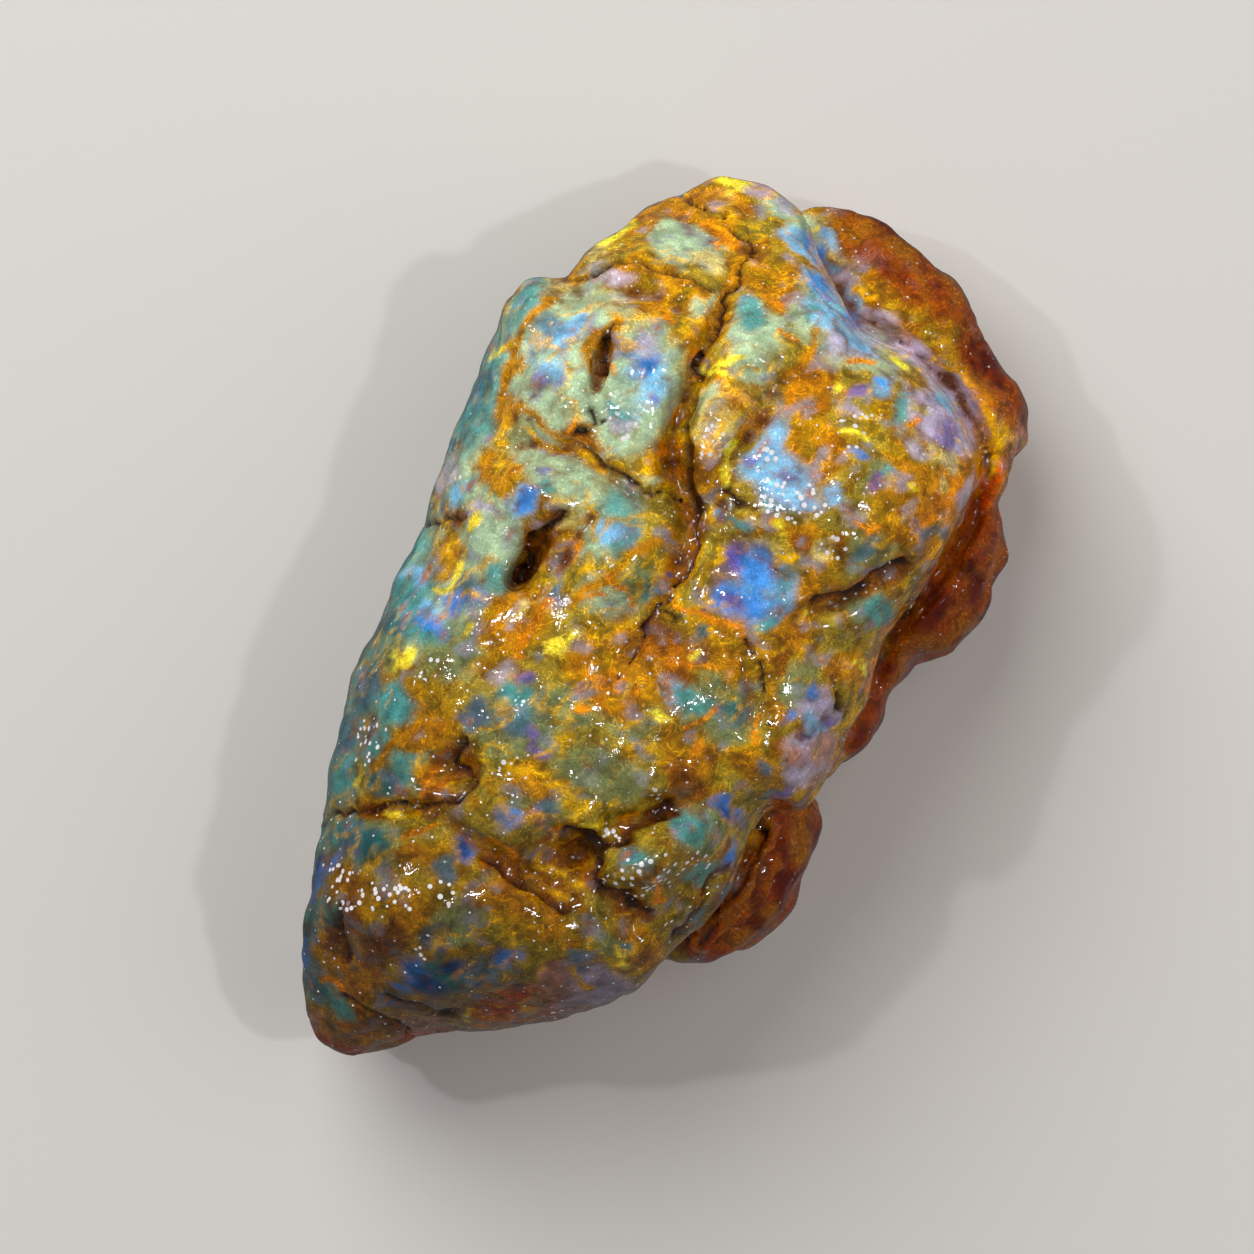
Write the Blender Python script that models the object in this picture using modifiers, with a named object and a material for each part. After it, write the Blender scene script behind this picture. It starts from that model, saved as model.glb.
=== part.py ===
"""A rough nodule of Dominican amber, lying on its back. Metres, +Z up, long side along Y.

The stone is one piece. A domed front mass with a lumpy, cleft face lies over lower, thinner
lobes that show past its right side, and a rounder, lumpier back carries a small worn flat.
Forms on the stone are given in millimetres from the middle of its box, x across, y towards
the broad end and z up from the flat that it rests on.
"""

import math

import bmesh
import bpy
import numpy as np
from mathutils import Matrix, Vector, noise

# Driving dimensions, in metres
LENGTH = 0.058
WIDTH = 0.0333
HEIGHT = 0.023
MM = 0.001

# The working surface, in millimetres, and the faces that the finished stone keeps
GRAIN = 0.4
KEPT_TRIANGLES = 9300
SHORTEST_EDGE = 0.04

# Rim of the front mass at its widest level, clockwise from the left shoulder
FRONT_RIM = [
    (-16.3, 13.5), (-16.9, 15.5), (-16.2, 17.3), (-14.6, 18.1), (-14.0, 19.0), (-14.1, 20.6),
    (-12.9, 22.4), (-12.0, 24.7), (-10.3, 26.9), (-9.0, 28.8), (-6.0, 29.5), (-3.6, 28.9),
    (-1.0, 26.7), (1.6, 24.8), (2.8, 24.1), (5.0, 24.1), (8.3, 23.4), (10.7, 22.0),
    (12.6, 20.2), (13.3, 17.5), (13.2, 14.0), (12.6, 10.5), (12.2, 8.0), (12.8, 5.5),
    (13.0, 2.0), (13.4, -1.4), (13.1, -3.3), (11.3, -3.9), (10.9, -6.0), (11.1, -9.0),
    (10.6, -12.5), (9.9, -15.5), (9.4, -17.6), (7.7, -19.8), (5.1, -22.1), (2.3, -24.3),
    (0.1, -25.4), (-1.7, -27.6), (-3.8, -29.4), (-5.6, -29.7), (-7.2, -28.7), (-8.5, -26.4),
    (-9.5, -23.5), (-11.0, -20.0), (-12.0, -16.4), (-13.3, -12.8), (-14.1, -8.5),
    (-14.7, -3.0), (-14.8, 1.0), (-15.4, 4.0), (-15.8, 8.0), (-16.1, 11.0),
]
FRONT_MIDDLE = (-0.6, 1.5)

# Levels of the front mass: height, share of the rim, and how far the level is pushed across.
# Low levels keep to the left, so the left flank slopes and the right edge overhangs.
FRONT_LEVELS = [
    (2.5, 0.50, 0.2),
    (5.5, 0.74, -0.6),
    (8.5, 0.88, -1.3),
    (11.0, 0.94, -0.8),
    (13.2, 0.985, -0.2),
    (15.0, 1.0, 0.0),
    (16.8, 0.975, 0.2),
    (18.6, 0.915, 0.5),
    (20.2, 0.82, 0.8),
    (21.4, 0.69, 1.0),
    (22.2, 0.52, 1.1),
    (22.7, 0.30, 1.1),
]

# Lower lobes past the front mass: middle, radii and the turn of each about Z in degrees
SIDE_LOBES = {
    "brow": ((3.5, 25.3, 7.2), (8.8, 5.2, 5.2), -17),
    "top_corner": ((10.2, 22.5, 7.2), (4.8, 4.5, 4.8), -30),
    "pink_edge": ((11.4, 19.6, 8.4), (3.7, 4.0, 4.2), 0),
    "right_shoulder": ((13.2, 15.4, 7.4), (3.5, 3.8, 4.4), 0),
    "right_point": ((13.4, 12.0, 6.8), (4.2, 4.3, 4.8), -8),
    "right_point_foot": ((12.2, 8.4, 6.4), (3.1, 4.0, 4.0), 0),
    "red_rim": ((11.8, 3.0, 6.8), (3.2, 4.6, 4.4), 0),
    "lower_right": ((9.8, -8.2, 7.2), (5.4, 7.0, 5.8), -4),
    "lower_right_top": ((12.0, -5.4, 6.6), (3.1, 3.6, 4.4), 0),
}

# Rounded masses of the back, hidden from above, the first of them the lowest
BACK_LOBES = {
    "back_heart": ((-1.5, 2.0, 7.6), (10.0, 15.5, 7.6), 6),
    "back_top_left": ((-7.5, 14.5, 8.0), (7.4, 9.0, 6.6), 24),
    "back_top_right": ((4.0, 17.0, 7.4), (7.2, 7.0, 6.2), -30),
    "back_left": ((-9.0, -1.5, 8.2), (5.2, 8.5, 6.2), 8),
    "back_right": ((6.6, -1.5, 7.0), (5.4, 7.5, 5.8), -12),
    "back_tip": ((-5.4, -19.4, 8.6), (5.0, 9.6, 5.6), 6),
    "back_low_right": ((2.6, -13.5, 7.6), (6.4, 7.4, 5.8), -32),
}

# Ends and edges where the whole stone gets thinner towards its rim: middle, radii, turn in
# degrees and the share of the height that goes
SLOPES = {
    "top_end": (-9.0, 30.0, 14.0, 12.0, 0, 0.32),
    "tip": (-5.0, -31.0, 10.0, 10.0, 0, 0.26),
    "lower_right_edge": (5.0, -26.0, 12.0, 6.5, 35, 0.26),
    "left_edge": (-18.5, -2.0, 5.0, 18.0, 0, 0.14),
}

# Swellings and dips of the face seen from above: middle, radii, turn in degrees and rise
FACE_FORMS = {
    "left_shoulder": (-15.0, 15.5, 1.8, 2.6, 0, 0.9),
    "top_left_cushion": (-9.2, 22.0, 4.2, 3.0, 15, 0.9),
    "top_tip": (-8.2, 26.4, 2.2, 1.4, 20, 0.5),
    "blue_ridge": (-0.8, 24.3, 5.0, 1.7, -35, 1.1),
    "upper_left_cushion": (-10.0, 14.0, 5.0, 5.2, 0, 0.9),
    "long_cushion": (-2.4, 14.6, 2.1, 4.8, 8, 1.0),
    "upper_middle_cushion": (-2.2, 20.6, 2.7, 2.2, 0, 0.5),
    "great_dome": (6.2, 15.5, 7.0, 7.2, 0, 1.5),
    "middle_left_cushion": (-9.6, 6.2, 3.6, 2.2, 0, 0.9),
    "middle_cushion": (-3.6, 4.6, 2.8, 3.6, -25, 0.7),
    "blue_window": (3.5, 6.3, 2.3, 2.8, 15, -0.7),
    "right_shelf": (9.2, 5.6, 3.4, 3.0, 0, -0.5),
    "right_lobe": (10.6, 0.4, 3.0, 4.2, 0, 0.6),
    "middle_plateau": (2.4, -2.6, 6.5, 6.0, 0, 0.5),
    "left_flank_dip": (-13.0, 0.0, 2.4, 4.0, 0, -0.6),
    "left_flank_swell": (-12.2, -6.5, 3.0, 4.4, 0, 0.7),
    "lower_left_bulge": (-7.0, -19.0, 5.0, 4.6, 0, 1.2),
    "lower_middle_swell": (0.6, -17.4, 5.0, 2.6, 10, 0.4),
    "blue_facet": (-0.6, -21.2, 4.6, 1.5, 35, -0.5),
    "slanting_ridge": (6.7, -9.4, 1.9, 4.6, -38, 1.9),
    "great_hollow": (1.7, -12.6, 2.6, 2.8, 0, -1.7),
    "under_ridge_hollow": (6.4, -13.6, 2.4, 1.3, -25, -1.1),
    "left_hollow": (-6.5, -11.0, 2.5, 2.4, 0, -0.9),
    "bulge_hollow": (-7.4, -22.6, 1.7, 1.5, 30, -0.6),
}

# Clefts of the face: depth, half width and the points that each runs through
FACE_CLEFTS = {
    "main": (2.4, 1.35, [
        (-6.3, 24.0), (-5.2, 22.8), (-5.0, 20.0), (-4.8, 17.0), (-4.4, 14.4), (-3.9, 12.3),
        (-3.0, 11.0), (-1.3, 9.2), (-0.4, 7.2), (0.0, 5.6),
    ]),
    "main_crack": (0.6, 0.6, [(0.0, 6.0), (-0.1, 3.0), (-0.3, 0.8), (-0.6, -2.6)]),
    "middle_left": (1.2, 1.2, [
        (-1.2, 8.6), (-3.5, 8.2), (-5.4, 8.6), (-7.4, 9.2), (-9.4, 9.2), (-11.4, 8.5),
        (-13.0, 6.9), (-13.3, 5.4),
    ]),
    "middle_fold": (0.8, 1.0, [(-5.2, 8.4), (-6.0, 6.6), (-6.3, 4.6), (-6.0, 2.4)]),
    "notch": (1.0, 0.6, [(-0.4, 10.9), (0.6, 10.5), (1.7, 10.2)]),
    "brow_fold": (0.7, 1.0, [(-10.4, 25.0), (-8.0, 24.4), (-6.0, 24.0)]),
    "shoulder": (1.5, 1.2, [
        (-14.6, 18.2), (-12.6, 17.6), (-11.4, 19.0), (-9.6, 19.8), (-7.4, 20.0), (-5.2, 19.8),
    ]),
    "dome_left": (1.1, 0.9, [
        (0.2, 19.2), (-0.4, 18.0), (0.2, 16.6), (-0.4, 14.6), (-0.9, 12.6), (-0.6, 10.8),
    ]),
    "dome_foot": (0.8, 1.0, [(0.9, 9.4), (3.2, 9.0), (5.4, 8.8), (7.4, 8.6)]),
    "right_fold": (1.3, 1.1, [(7.0, 6.6), (8.1, 7.8), (9.2, 9.0), (10.4, 11.0), (11.6, 12.6)]),
    "right_lower": (0.8, 0.9, [(4.8, 4.0), (6.2, 2.4), (7.4, 1.2), (8.0, -0.8)]),
    "right_arc": (0.8, 0.7, [(9.8, 3.7), (11.1, 2.9), (12.0, 1.8), (12.3, 0.4)]),
    "left_rust": (0.6, 0.8, [(-14.0, 16.6), (-14.5, 13.2), (-14.3, 10.2), (-13.7, 7.8)]),
    "ridge_left": (1.3, 1.1, [(2.6, -10.4), (4.0, -8.4), (5.6, -6.6), (7.2, -4.9)]),
    "ridge_right": (0.9, 0.9, [(7.4, -13.4), (9.0, -11.0), (10.2, -8.4), (10.4, -5.0)]),
    "waist": (1.3, 1.2, [
        (-11.2, -17.0), (-9.6, -15.4), (-8.0, -14.0), (-5.8, -13.4), (-3.2, -13.8),
        (-0.6, -14.2), (1.6, -14.4), (4.0, -14.9),
    ]),
    "bulge_right": (0.4, 1.0, [(-4.0, -17.8), (-3.2, -20.0), (-4.0, -22.4), (-5.8, -24.4)]),
    "ledge": (0.45, 1.0, [(-3.4, -24.8), (-0.4, -23.0), (2.6, -20.8), (5.0, -18.4), (7.8, -16.8)]),
    "tip_fold": (0.5, 0.8, [(-8.6, -24.6), (-5.6, -25.6), (-2.4, -25.8)]),
}

# Gaps between the front mass and the lobes below it, carved under this height, in millimetres
GAP_CEILING = 13.0
RIM_GAPS = {
    "gap_top": (2.2, 1.1, [
        (-2.4, 27.4), (-0.2, 26.3), (2.4, 24.9), (5.0, 24.8), (8.8, 24.0), (11.2, 22.6),
        (13.2, 20.6), (14.0, 17.6), (13.9, 14.4), (13.2, 10.8), (12.9, 8.0), (13.4, 5.0),
        (13.9, 1.0),
    ]),
    "gap_low": (2.0, 1.0, [
        (12.8, -3.4), (11.4, -4.4), (11.4, -6.4), (11.6, -9.0), (11.0, -12.4), (9.8, -15.6),
    ]),
    "ledge_a": (0.7, 0.6, [(12.2, -3.6), (13.0, -6.4), (12.9, -9.4), (11.8, -12.4), (10.0, -14.4)]),
    "ledge_b": (0.6, 0.5, [(13.4, -4.6), (14.0, -7.4), (13.6, -10.2), (12.4, -12.8)]),
}

# Pits with steep walls in the face: middle, radii, turn in degrees and depth
FACE_PITS = {
    "deep_pit": (-8.15, 2.5, 0.75, 2.1, -8, 2.6),
    "deep_pit_floor": (-8.1, 1.3, 0.85, 0.8, 0, 1.6),
    "pit_ledge": (-6.9, 2.6, 0.8, 1.5, -30, 0.7),
    "slit": (-9.8, 14.6, 0.6, 1.9, 12, 1.5),
    "left_small": (-8.9, 9.7, 0.7, 0.6, 0, 0.8),
    "flank_small": (-12.6, 1.8, 0.8, 0.7, 0, 0.7),
    "brown_patch": (0.8, 2.5, 1.0, 0.9, 0, 0.5),
    "plateau_small": (-6.0, -10.2, 1.2, 0.9, 0, 0.5),
    "hollow_deep": (2.5, -11.2, 1.0, 1.1, 0, 0.9),
}

# Rounded lumps with creases between them, on the sides and the back: size of a lump, and
# how far it stands proud, in millimetres
KNOBS = [(9.5, 1.5), (4.6, 0.55)]
KNOB_BEND = 2.6
BEND_SEEDS = [Vector((13.7, 2.1, 8.4)), Vector((5.9, 17.3, 1.6)), Vector((3.2, 9.8, 21.5))]
KNOBS_FULL_BELOW = 9.5
KNOBS_GONE_ABOVE = 13.5

# Fine relief over the whole surface, in the same terms, and its share across the plan
CRUMPLES = [(6.0, 0.45), (2.8, 0.26)]
WAVES = [(9.0, 0.40), (2.0, 0.10)]
ACROSS_SHARE = 0.7

# The back is cut this far above its lowest point, which leaves the flat that it rests on.
# Round that flat the back is worn, so its lumps stand less proud.
CUT_ABOVE_LOWEST = 1.2
WORN = (-1.5, 2.0, 9.0, 14.0, 6, 1.0)

AMBER = (0.36, 0.19, 0.045, 1.0)


def clear_scene():
    for item in list(bpy.data.objects):
        bpy.data.objects.remove(item, do_unlink=True)


def new_collection(name):
    collection = bpy.data.collections.new(name)
    bpy.context.scene.collection.children.link(collection)
    return collection


def amber_material():
    material = bpy.data.materials.new("amber")
    material.use_nodes = True
    shader = material.node_tree.nodes["Principled BSDF"]
    shader.inputs["Base Color"].default_value = AMBER
    shader.inputs["Roughness"].default_value = 0.22
    shader.inputs["Metallic"].default_value = 0.0
    shader.inputs["IOR"].default_value = 1.54
    return material


def add_front_mass(bm):
    """The domed front, lofted through scaled copies of its rim by extruding one face upwards."""
    middle = Vector(FRONT_MIDDLE)
    level, share, across = FRONT_LEVELS[0]
    ring = [bm.verts.new((0.0, 0.0, 0.0)) for _ in FRONT_RIM]
    face = bm.faces.new(ring)
    place_level(face.verts, middle, level, share, across)
    floor = face
    for level, share, across in FRONT_LEVELS[1:]:
        made = bmesh.ops.extrude_face_region(bm, geom=[face])["geom"]
        if face is not floor:
            bm.faces.remove(face)
        face = next(item for item in made if isinstance(item, bmesh.types.BMFace))
        place_level(face.verts, middle, level, share, across)


def place_level(verts, middle, level, share, across):
    for vert, point in zip(verts, FRONT_RIM):
        spot = middle + share * (Vector(point) - middle)
        vert.co = (spot.x + across, spot.y, level)


def add_lobe(bm, middle, radii, turn):
    stretch = Matrix.Diagonal((*radii, 1.0))
    place = Matrix.Translation(middle) @ Matrix.Rotation(math.radians(turn), 4, "Z") @ stretch
    bmesh.ops.create_icosphere(bm, subdivisions=4, radius=1.0, matrix=place)


def rough_masses():
    """The overlapping closed masses of the stone in one mesh, in millimetres."""
    bm = bmesh.new()
    add_front_mass(bm)
    for middle, radii, turn in [*SIDE_LOBES.values(), *BACK_LOBES.values()]:
        add_lobe(bm, middle, radii, turn)
    bmesh.ops.recalc_face_normals(bm, faces=bm.faces)
    mesh = bpy.data.meshes.new("amber_nodule")
    bm.to_mesh(mesh)
    bm.free()
    return mesh


def apply_modifiers(stone):
    """Replaces the object's mesh by what its modifiers make of it."""
    graph = bpy.context.evaluated_depsgraph_get()
    mesh = bpy.data.meshes.new_from_object(stone.evaluated_get(graph))
    old = stone.data
    stone.modifiers.clear()
    stone.data = mesh
    bpy.data.meshes.remove(old)


def fuse(stone):
    """One even skin over all the masses, with the joints between them softened a little."""
    remesh = stone.modifiers.new("one skin", "REMESH")
    remesh.mode = "VOXEL"
    remesh.voxel_size = GRAIN
    smooth = stone.modifiers.new("soft joints", "SMOOTH")
    smooth.factor = 0.5
    smooth.iterations = 6
    apply_modifiers(stone)


def turned(points, middle, turn):
    """Plan offsets from a form's middle, along its own two axes."""
    offset = points[:, :2] - np.array(middle)
    c, s = math.cos(math.radians(turn)), math.sin(math.radians(turn))
    return offset[:, 0] * c + offset[:, 1] * s, -offset[:, 0] * s + offset[:, 1] * c


def form_heights(points, forms, power):
    """Sum of rounded forms: each is its full rise at its middle and nothing past its radii."""
    total = np.zeros(len(points))
    for x, y, rx, ry, turn, rise in forms.values():
        u, v = turned(points, (x, y), turn)
        reach = np.clip(1.0 - (u / rx) ** 2 - (v / ry) ** 2, 0.0, 1.0)
        total += rise * reach**power
    return total


def distance_along(points, line):
    """Distance in plan to a line of points, and how far along the line the nearest spot is."""
    plan = points[:, :2]
    line = np.array(line)
    lengths = np.linalg.norm(np.diff(line, axis=0), axis=1)
    nearest = np.full(len(plan), np.inf)
    along = np.zeros(len(plan))
    start = 0.0
    for a, b, length in zip(line[:-1], line[1:], lengths):
        step = (b - a) / length
        share = np.clip((plan - a) @ step, 0.0, length)
        gap = np.linalg.norm(plan - a - share[:, None] * step, axis=1)
        closer = gap < nearest
        nearest[closer] = gap[closer]
        along[closer] = (start + share[closer]) / lengths.sum()
        start += length
    return nearest, along


def cleft_depths(points, clefts):
    """Clefts with round shoulders and a sharp floor, which run out towards both ends."""
    total = np.zeros(len(points))
    for depth, half_width, line in clefts.values():
        gap, along = distance_along(points, line)
        wall = np.clip(1.0 - gap / half_width, 0.0, 1.0) ** 1.7
        fade = np.sin(np.pi * np.clip(along, 0.03, 0.97)) ** 0.5
        total = np.maximum(total, depth * wall * fade)
    return total


def crumples(points):
    """Small soft creases over slower waves, everywhere on the stone."""
    total = np.zeros(len(points))
    for i, point in enumerate(points):
        spot = Vector(point)
        for size, stand in CRUMPLES:
            total[i] += stand * (2.0 * abs(noise.noise(spot / size)) - 0.35)
        for size, stand in WAVES:
            total[i] += stand * noise.noise(spot / size + Vector((31.0, 7.0, 19.0)))
    return total


def knobs(points):
    """Round lumps of uneven size that meet in creases, from the gap between the two nearest
    of a field of scattered middles."""
    total = np.zeros(len(points))
    for i, point in enumerate(points):
        spot = Vector(point)
        spot += KNOB_BEND * Vector([noise.noise(spot / 8.0 + seed) for seed in BEND_SEEDS])
        for size, stand in KNOBS:
            near, next_near = noise.voronoi(spot / size)[0][:2]
            total[i] += stand * (min(1.0, 1.6 * (next_near - near)) ** 0.6 - 0.6)
    return total


def facing(normals):
    """1 where the surface faces up, falling to 0 on the steep sides."""
    lean = np.clip((normals[:, 2] - 0.05) / 0.5, 0.0, 1.0)
    return lean * lean * (3.0 - 2.0 * lean)


def read_points(mesh):
    points = np.empty(len(mesh.vertices) * 3, np.float32)
    mesh.vertices.foreach_get("co", points)
    normals = np.empty(len(mesh.vertices) * 3, np.float32)
    mesh.vertex_normals.foreach_get("vector", normals)
    return points.reshape(-1, 3).astype(float), normals.reshape(-1, 3).astype(float)


def carve(stone):
    """Gives the skin its cushions, clefts, pits and lumps."""
    points, normals = read_points(stone.data)
    face = facing(normals)
    low = (KNOBS_GONE_ABOVE - points[:, 2]) / (KNOBS_GONE_ABOVE - KNOBS_FULL_BELOW)
    rise = form_heights(points, FACE_FORMS, 1.3) - cleft_depths(points, FACE_CLEFTS)
    rise -= form_heights(points, FACE_PITS, 0.45)
    rise -= cleft_depths(points, RIM_GAPS) * (points[:, 2] < GAP_CEILING)
    proud = 1.0 - form_heights(points, {"flat": WORN}, 1.0) * (points[:, 2] < GAP_CEILING)
    stand = proud * (crumples(points) + (1.0 - face) * np.clip(low, 0.0, 1.0) * knobs(points))
    points += normals * stand[:, None] * np.array([ACROSS_SHARE, ACROSS_SHARE, 1.0])
    points[:, 2] += face * rise
    points[:, 2] *= 1.0 - form_heights(points, SLOPES, 1.3)
    stone.data.vertices.foreach_set("co", points.astype(np.float32).ravel())
    stone.data.update()


def thin_out(stone):
    """Keeps only as many faces as the forms need."""
    stone.data.calc_loop_triangles()
    decimate = stone.modifiers.new("fewer faces", "DECIMATE")
    decimate.ratio = KEPT_TRIANGLES / len(stone.data.loop_triangles)
    decimate.use_collapse_triangulate = True
    apply_modifiers(stone)


def fit_to_size(stone):
    """Brings the stone to its real size, on its flat, with its box centred on the origin."""
    points, _ = read_points(stone.data)
    low, high = points.min(axis=0), points.max(axis=0)
    low[2] += CUT_ABOVE_LOWEST
    base = np.array([(low[0] + high[0]) / 2, (low[1] + high[1]) / 2, low[2]])
    points = (points - base) * (np.array([WIDTH, LENGTH, HEIGHT]) / (high - low))
    stone.data.vertices.foreach_set("co", points.astype(np.float32).ravel())
    stone.data.update()


def cut_resting_flat(stone):
    bm = bmesh.new()
    bm.from_mesh(stone.data)
    everything = [*bm.verts, *bm.edges, *bm.faces]
    cut = bmesh.ops.bisect_plane(
        bm,
        geom=everything,
        plane_co=(0.0, 0.0, 0.0),
        plane_no=(0.0, 0.0, 1.0),
        clear_inner=True,
    )
    rim = [item for item in cut["geom_cut"] if isinstance(item, bmesh.types.BMEdge)]
    flat = bmesh.ops.edgenet_fill(bm, edges=rim)["faces"]
    bmesh.ops.reverse_faces(bm, faces=[face for face in flat if face.normal.z > 0.0])
    bmesh.ops.dissolve_degenerate(bm, dist=SHORTEST_EDGE * MM, edges=bm.edges)
    bmesh.ops.triangulate(bm, faces=bm.faces)
    bm.to_mesh(stone.data)
    bm.free()


def build_stone(collection):
    stone = bpy.data.objects.new("amber_nodule", rough_masses())
    collection.objects.link(stone)
    fuse(stone)
    carve(stone)
    thin_out(stone)
    fit_to_size(stone)
    cut_resting_flat(stone)
    stone.data.name = stone.name
    stone.data.materials.append(amber_material())
    stone.data.shade_smooth()


def main():
    clear_scene()
    build_stone(new_collection("dominican_amber"))


main()
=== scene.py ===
# %% [markdown]
# # A rough nodule of Dominican amber
#
# The real stone is one lump of fossil resin, about as long as a thumb. A thin cloudy skin
# covers it, pale blue and green where it is clean and gold or brown where it is stained.
# The resin under the skin is clear and swallows blue light, so thin rims glow orange and
# deep places turn dark red.
#
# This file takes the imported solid, gives a copy of it a finer skin, paints that skin with
# washes and strokes as a model maker would, and then lights and frames it.

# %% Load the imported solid
import math

import bmesh
import bpy
import numpy as np
from mathutils import Matrix, Vector, noise


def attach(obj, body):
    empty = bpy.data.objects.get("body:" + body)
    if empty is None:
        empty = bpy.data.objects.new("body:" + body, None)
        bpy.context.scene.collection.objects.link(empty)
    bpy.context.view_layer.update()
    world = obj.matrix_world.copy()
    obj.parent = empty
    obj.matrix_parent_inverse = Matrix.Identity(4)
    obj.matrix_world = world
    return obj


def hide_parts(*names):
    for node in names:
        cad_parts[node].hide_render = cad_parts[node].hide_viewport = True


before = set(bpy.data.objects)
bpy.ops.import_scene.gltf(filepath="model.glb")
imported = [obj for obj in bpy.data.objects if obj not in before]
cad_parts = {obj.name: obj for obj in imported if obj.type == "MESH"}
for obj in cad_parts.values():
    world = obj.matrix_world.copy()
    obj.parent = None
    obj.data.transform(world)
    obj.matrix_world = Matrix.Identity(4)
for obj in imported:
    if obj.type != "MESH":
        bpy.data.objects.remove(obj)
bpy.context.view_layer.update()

MM = 0.001
cad_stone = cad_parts["amber_nodule"]

# %% [markdown]
# ## A finer skin
#
# The solid has fewer than ten thousand flat triangles, which is too few for creases half a
# millimetre wide. One could subdivide it, but its long and short triangles would then give
# an uneven skin. So a copy is subdivided once to round off the flat triangles, and a voxel
# remesh lays an even net over the result.

# %% Copy the solid and lay an even net over it
NET = 0.28
SAME_POINT = 0.01


def applied(piece):
    """Replaces the piece's mesh by what its modifiers make of it."""
    graph = bpy.context.evaluated_depsgraph_get()
    mesh = bpy.data.meshes.new_from_object(piece.evaluated_get(graph))
    old = piece.data
    piece.modifiers.clear()
    piece.data = mesh
    bpy.data.meshes.remove(old)


def copy_of(node, name):
    """A copy of a node's loose triangles, joined where they touch."""
    bm = bmesh.new()
    bm.from_mesh(node.data)
    bmesh.ops.remove_doubles(bm, verts=bm.verts, dist=SAME_POINT * MM)
    mesh = bpy.data.meshes.new(name)
    bm.to_mesh(mesh)
    bm.free()
    piece = bpy.data.objects.new(name, mesh)
    bpy.context.scene.collection.objects.link(piece)
    return piece


stone = copy_of(cad_stone, "amber_stone")
rounder = stone.modifiers.new("round off", "SUBSURF")
rounder.levels = rounder.render_levels = 1
net = stone.modifiers.new("even net", "REMESH")
net.mode = "VOXEL"
net.voxel_size = NET * MM
calm = stone.modifiers.new("calm", "SMOOTH")
calm.factor = 0.5
calm.iterations = 3
applied(stone)
print("net:", len(stone.data.vertices), "points,", len(stone.data.polygons), "faces")

# %% [markdown]
# ## Hollows and crests
#
# Stain gathers in hollows and clean skin shows on crests, and the paint also darkens the
# hollows as painted shade, so it needs to know which is which. Averaging each point with its
# neighbours many times gives a smoother stone. A point that lies below that smoother stone is
# in a hollow, and the number of rounds sets how wide a hollow counts.

# %% Measure hollows on the net
def read_vectors(items, field):
    """One row of three numbers for each item of a mesh."""
    values = np.empty(len(items) * 3, np.float32)
    items.foreach_get(field, values)
    return values.reshape(-1, 3).astype(float)


class Net:
    """The net's points in millimetres, with the neighbours of each."""

    def __init__(self, piece):
        self.piece = piece
        ends = np.empty(len(piece.data.edges) * 2, np.int32)
        piece.data.edges.foreach_get("vertices", ends)
        self.ends = ends.reshape(-1, 2)
        self.points = read_vectors(piece.data.vertices, "co") / MM
        self.count = np.bincount(ends, minlength=len(self.points))

    def averaged(self, values, rounds):
        """Values spread over the net by so many rounds of averaging with the neighbours."""
        a, b = self.ends.T
        for _ in range(rounds):
            total = np.stack([
                np.bincount(a, column[b], len(column)) + np.bincount(b, column[a], len(column))
                for column in values.T
            ], axis=1)
            values = 0.5 * values + 0.5 * total / self.count[:, None]
        return values

    def move_to(self, points):
        """Moves the mesh's points there."""
        self.points = points
        self.piece.data.vertices.foreach_set("co", (points * MM).astype(np.float32).ravel())
        self.piece.data.update()

    def normals(self):
        return read_vectors(self.piece.data.vertex_normals, "vector")

    def hollows(self, rounds):
        """How far each point lies under the stone as smoothed by so many rounds, in mm."""
        inward = self.averaged(self.points, rounds) - self.points
        return (inward * self.normals()).sum(axis=1)

    def keep(self, name, values):
        """Stores one number for each point, for the material to read."""
        layer = self.piece.data.attributes.new(name, "FLOAT", "POINT")
        layer.data.foreach_set("value", values.astype(np.float32))

    def keep_colour(self, name, colours):
        """Stores one colour for each point, for the material to read."""
        layer = self.piece.data.attributes.new(name, "FLOAT_COLOR", "POINT")
        full = np.concatenate([colours, np.ones((len(colours), 1))], axis=1)
        layer.data.foreach_set("color", full.astype(np.float32).ravel())


skin = Net(stone)
print("hollows up to", skin.hollows(16).max().round(2), "mm deep")

# %% [markdown]
# ## Noise to draw with
#
# Nothing on the stone has a clean outline. Small helpers give soft noise, noise that is
# folded into round cushions with sharp creases, and points that are pushed about a little,
# so that a spot drawn as an ellipse gets the outline of a cloud. The plain noise function is
# used throughout, with a seed added to the place, because it gives the same values in each
# run. Blender's vector noise doesn't: it starts from a random offset.

# %% Noise helpers
SEED_PACES = (1.0, 2.7, 5.3)


def cloudy(points, size, seed):
    """Soft noise of about that size in millimetres, from -1 to 1."""
    shift = Vector([seed * pace for pace in SEED_PACES])
    return np.array([noise.noise(Vector(p) / size + shift) for p in points])


def folded(points, size, seed):
    """Round cushions with creases between them, from about -0.4 to 1."""
    return 2.2 * np.abs(cloudy(points, size, seed)) - 0.4


def drifted(points, drifts):
    """The points pushed about by noise, given as pairs of its size and its reach."""
    moved = points.copy()
    for seed, (size, reach) in enumerate(drifts):
        push = [cloudy(points, size, 80.0 + 3 * seed + axis) for axis in range(3)]
        moved += reach * np.stack(push, axis=1)
    return moved


def step(values, low, high):
    """0 below low, 1 above high and a smooth rise between them."""
    share = np.clip((values - low) / (high - low), 0.0, 1.0)
    return share * share * (3.0 - 2.0 * share)


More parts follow.
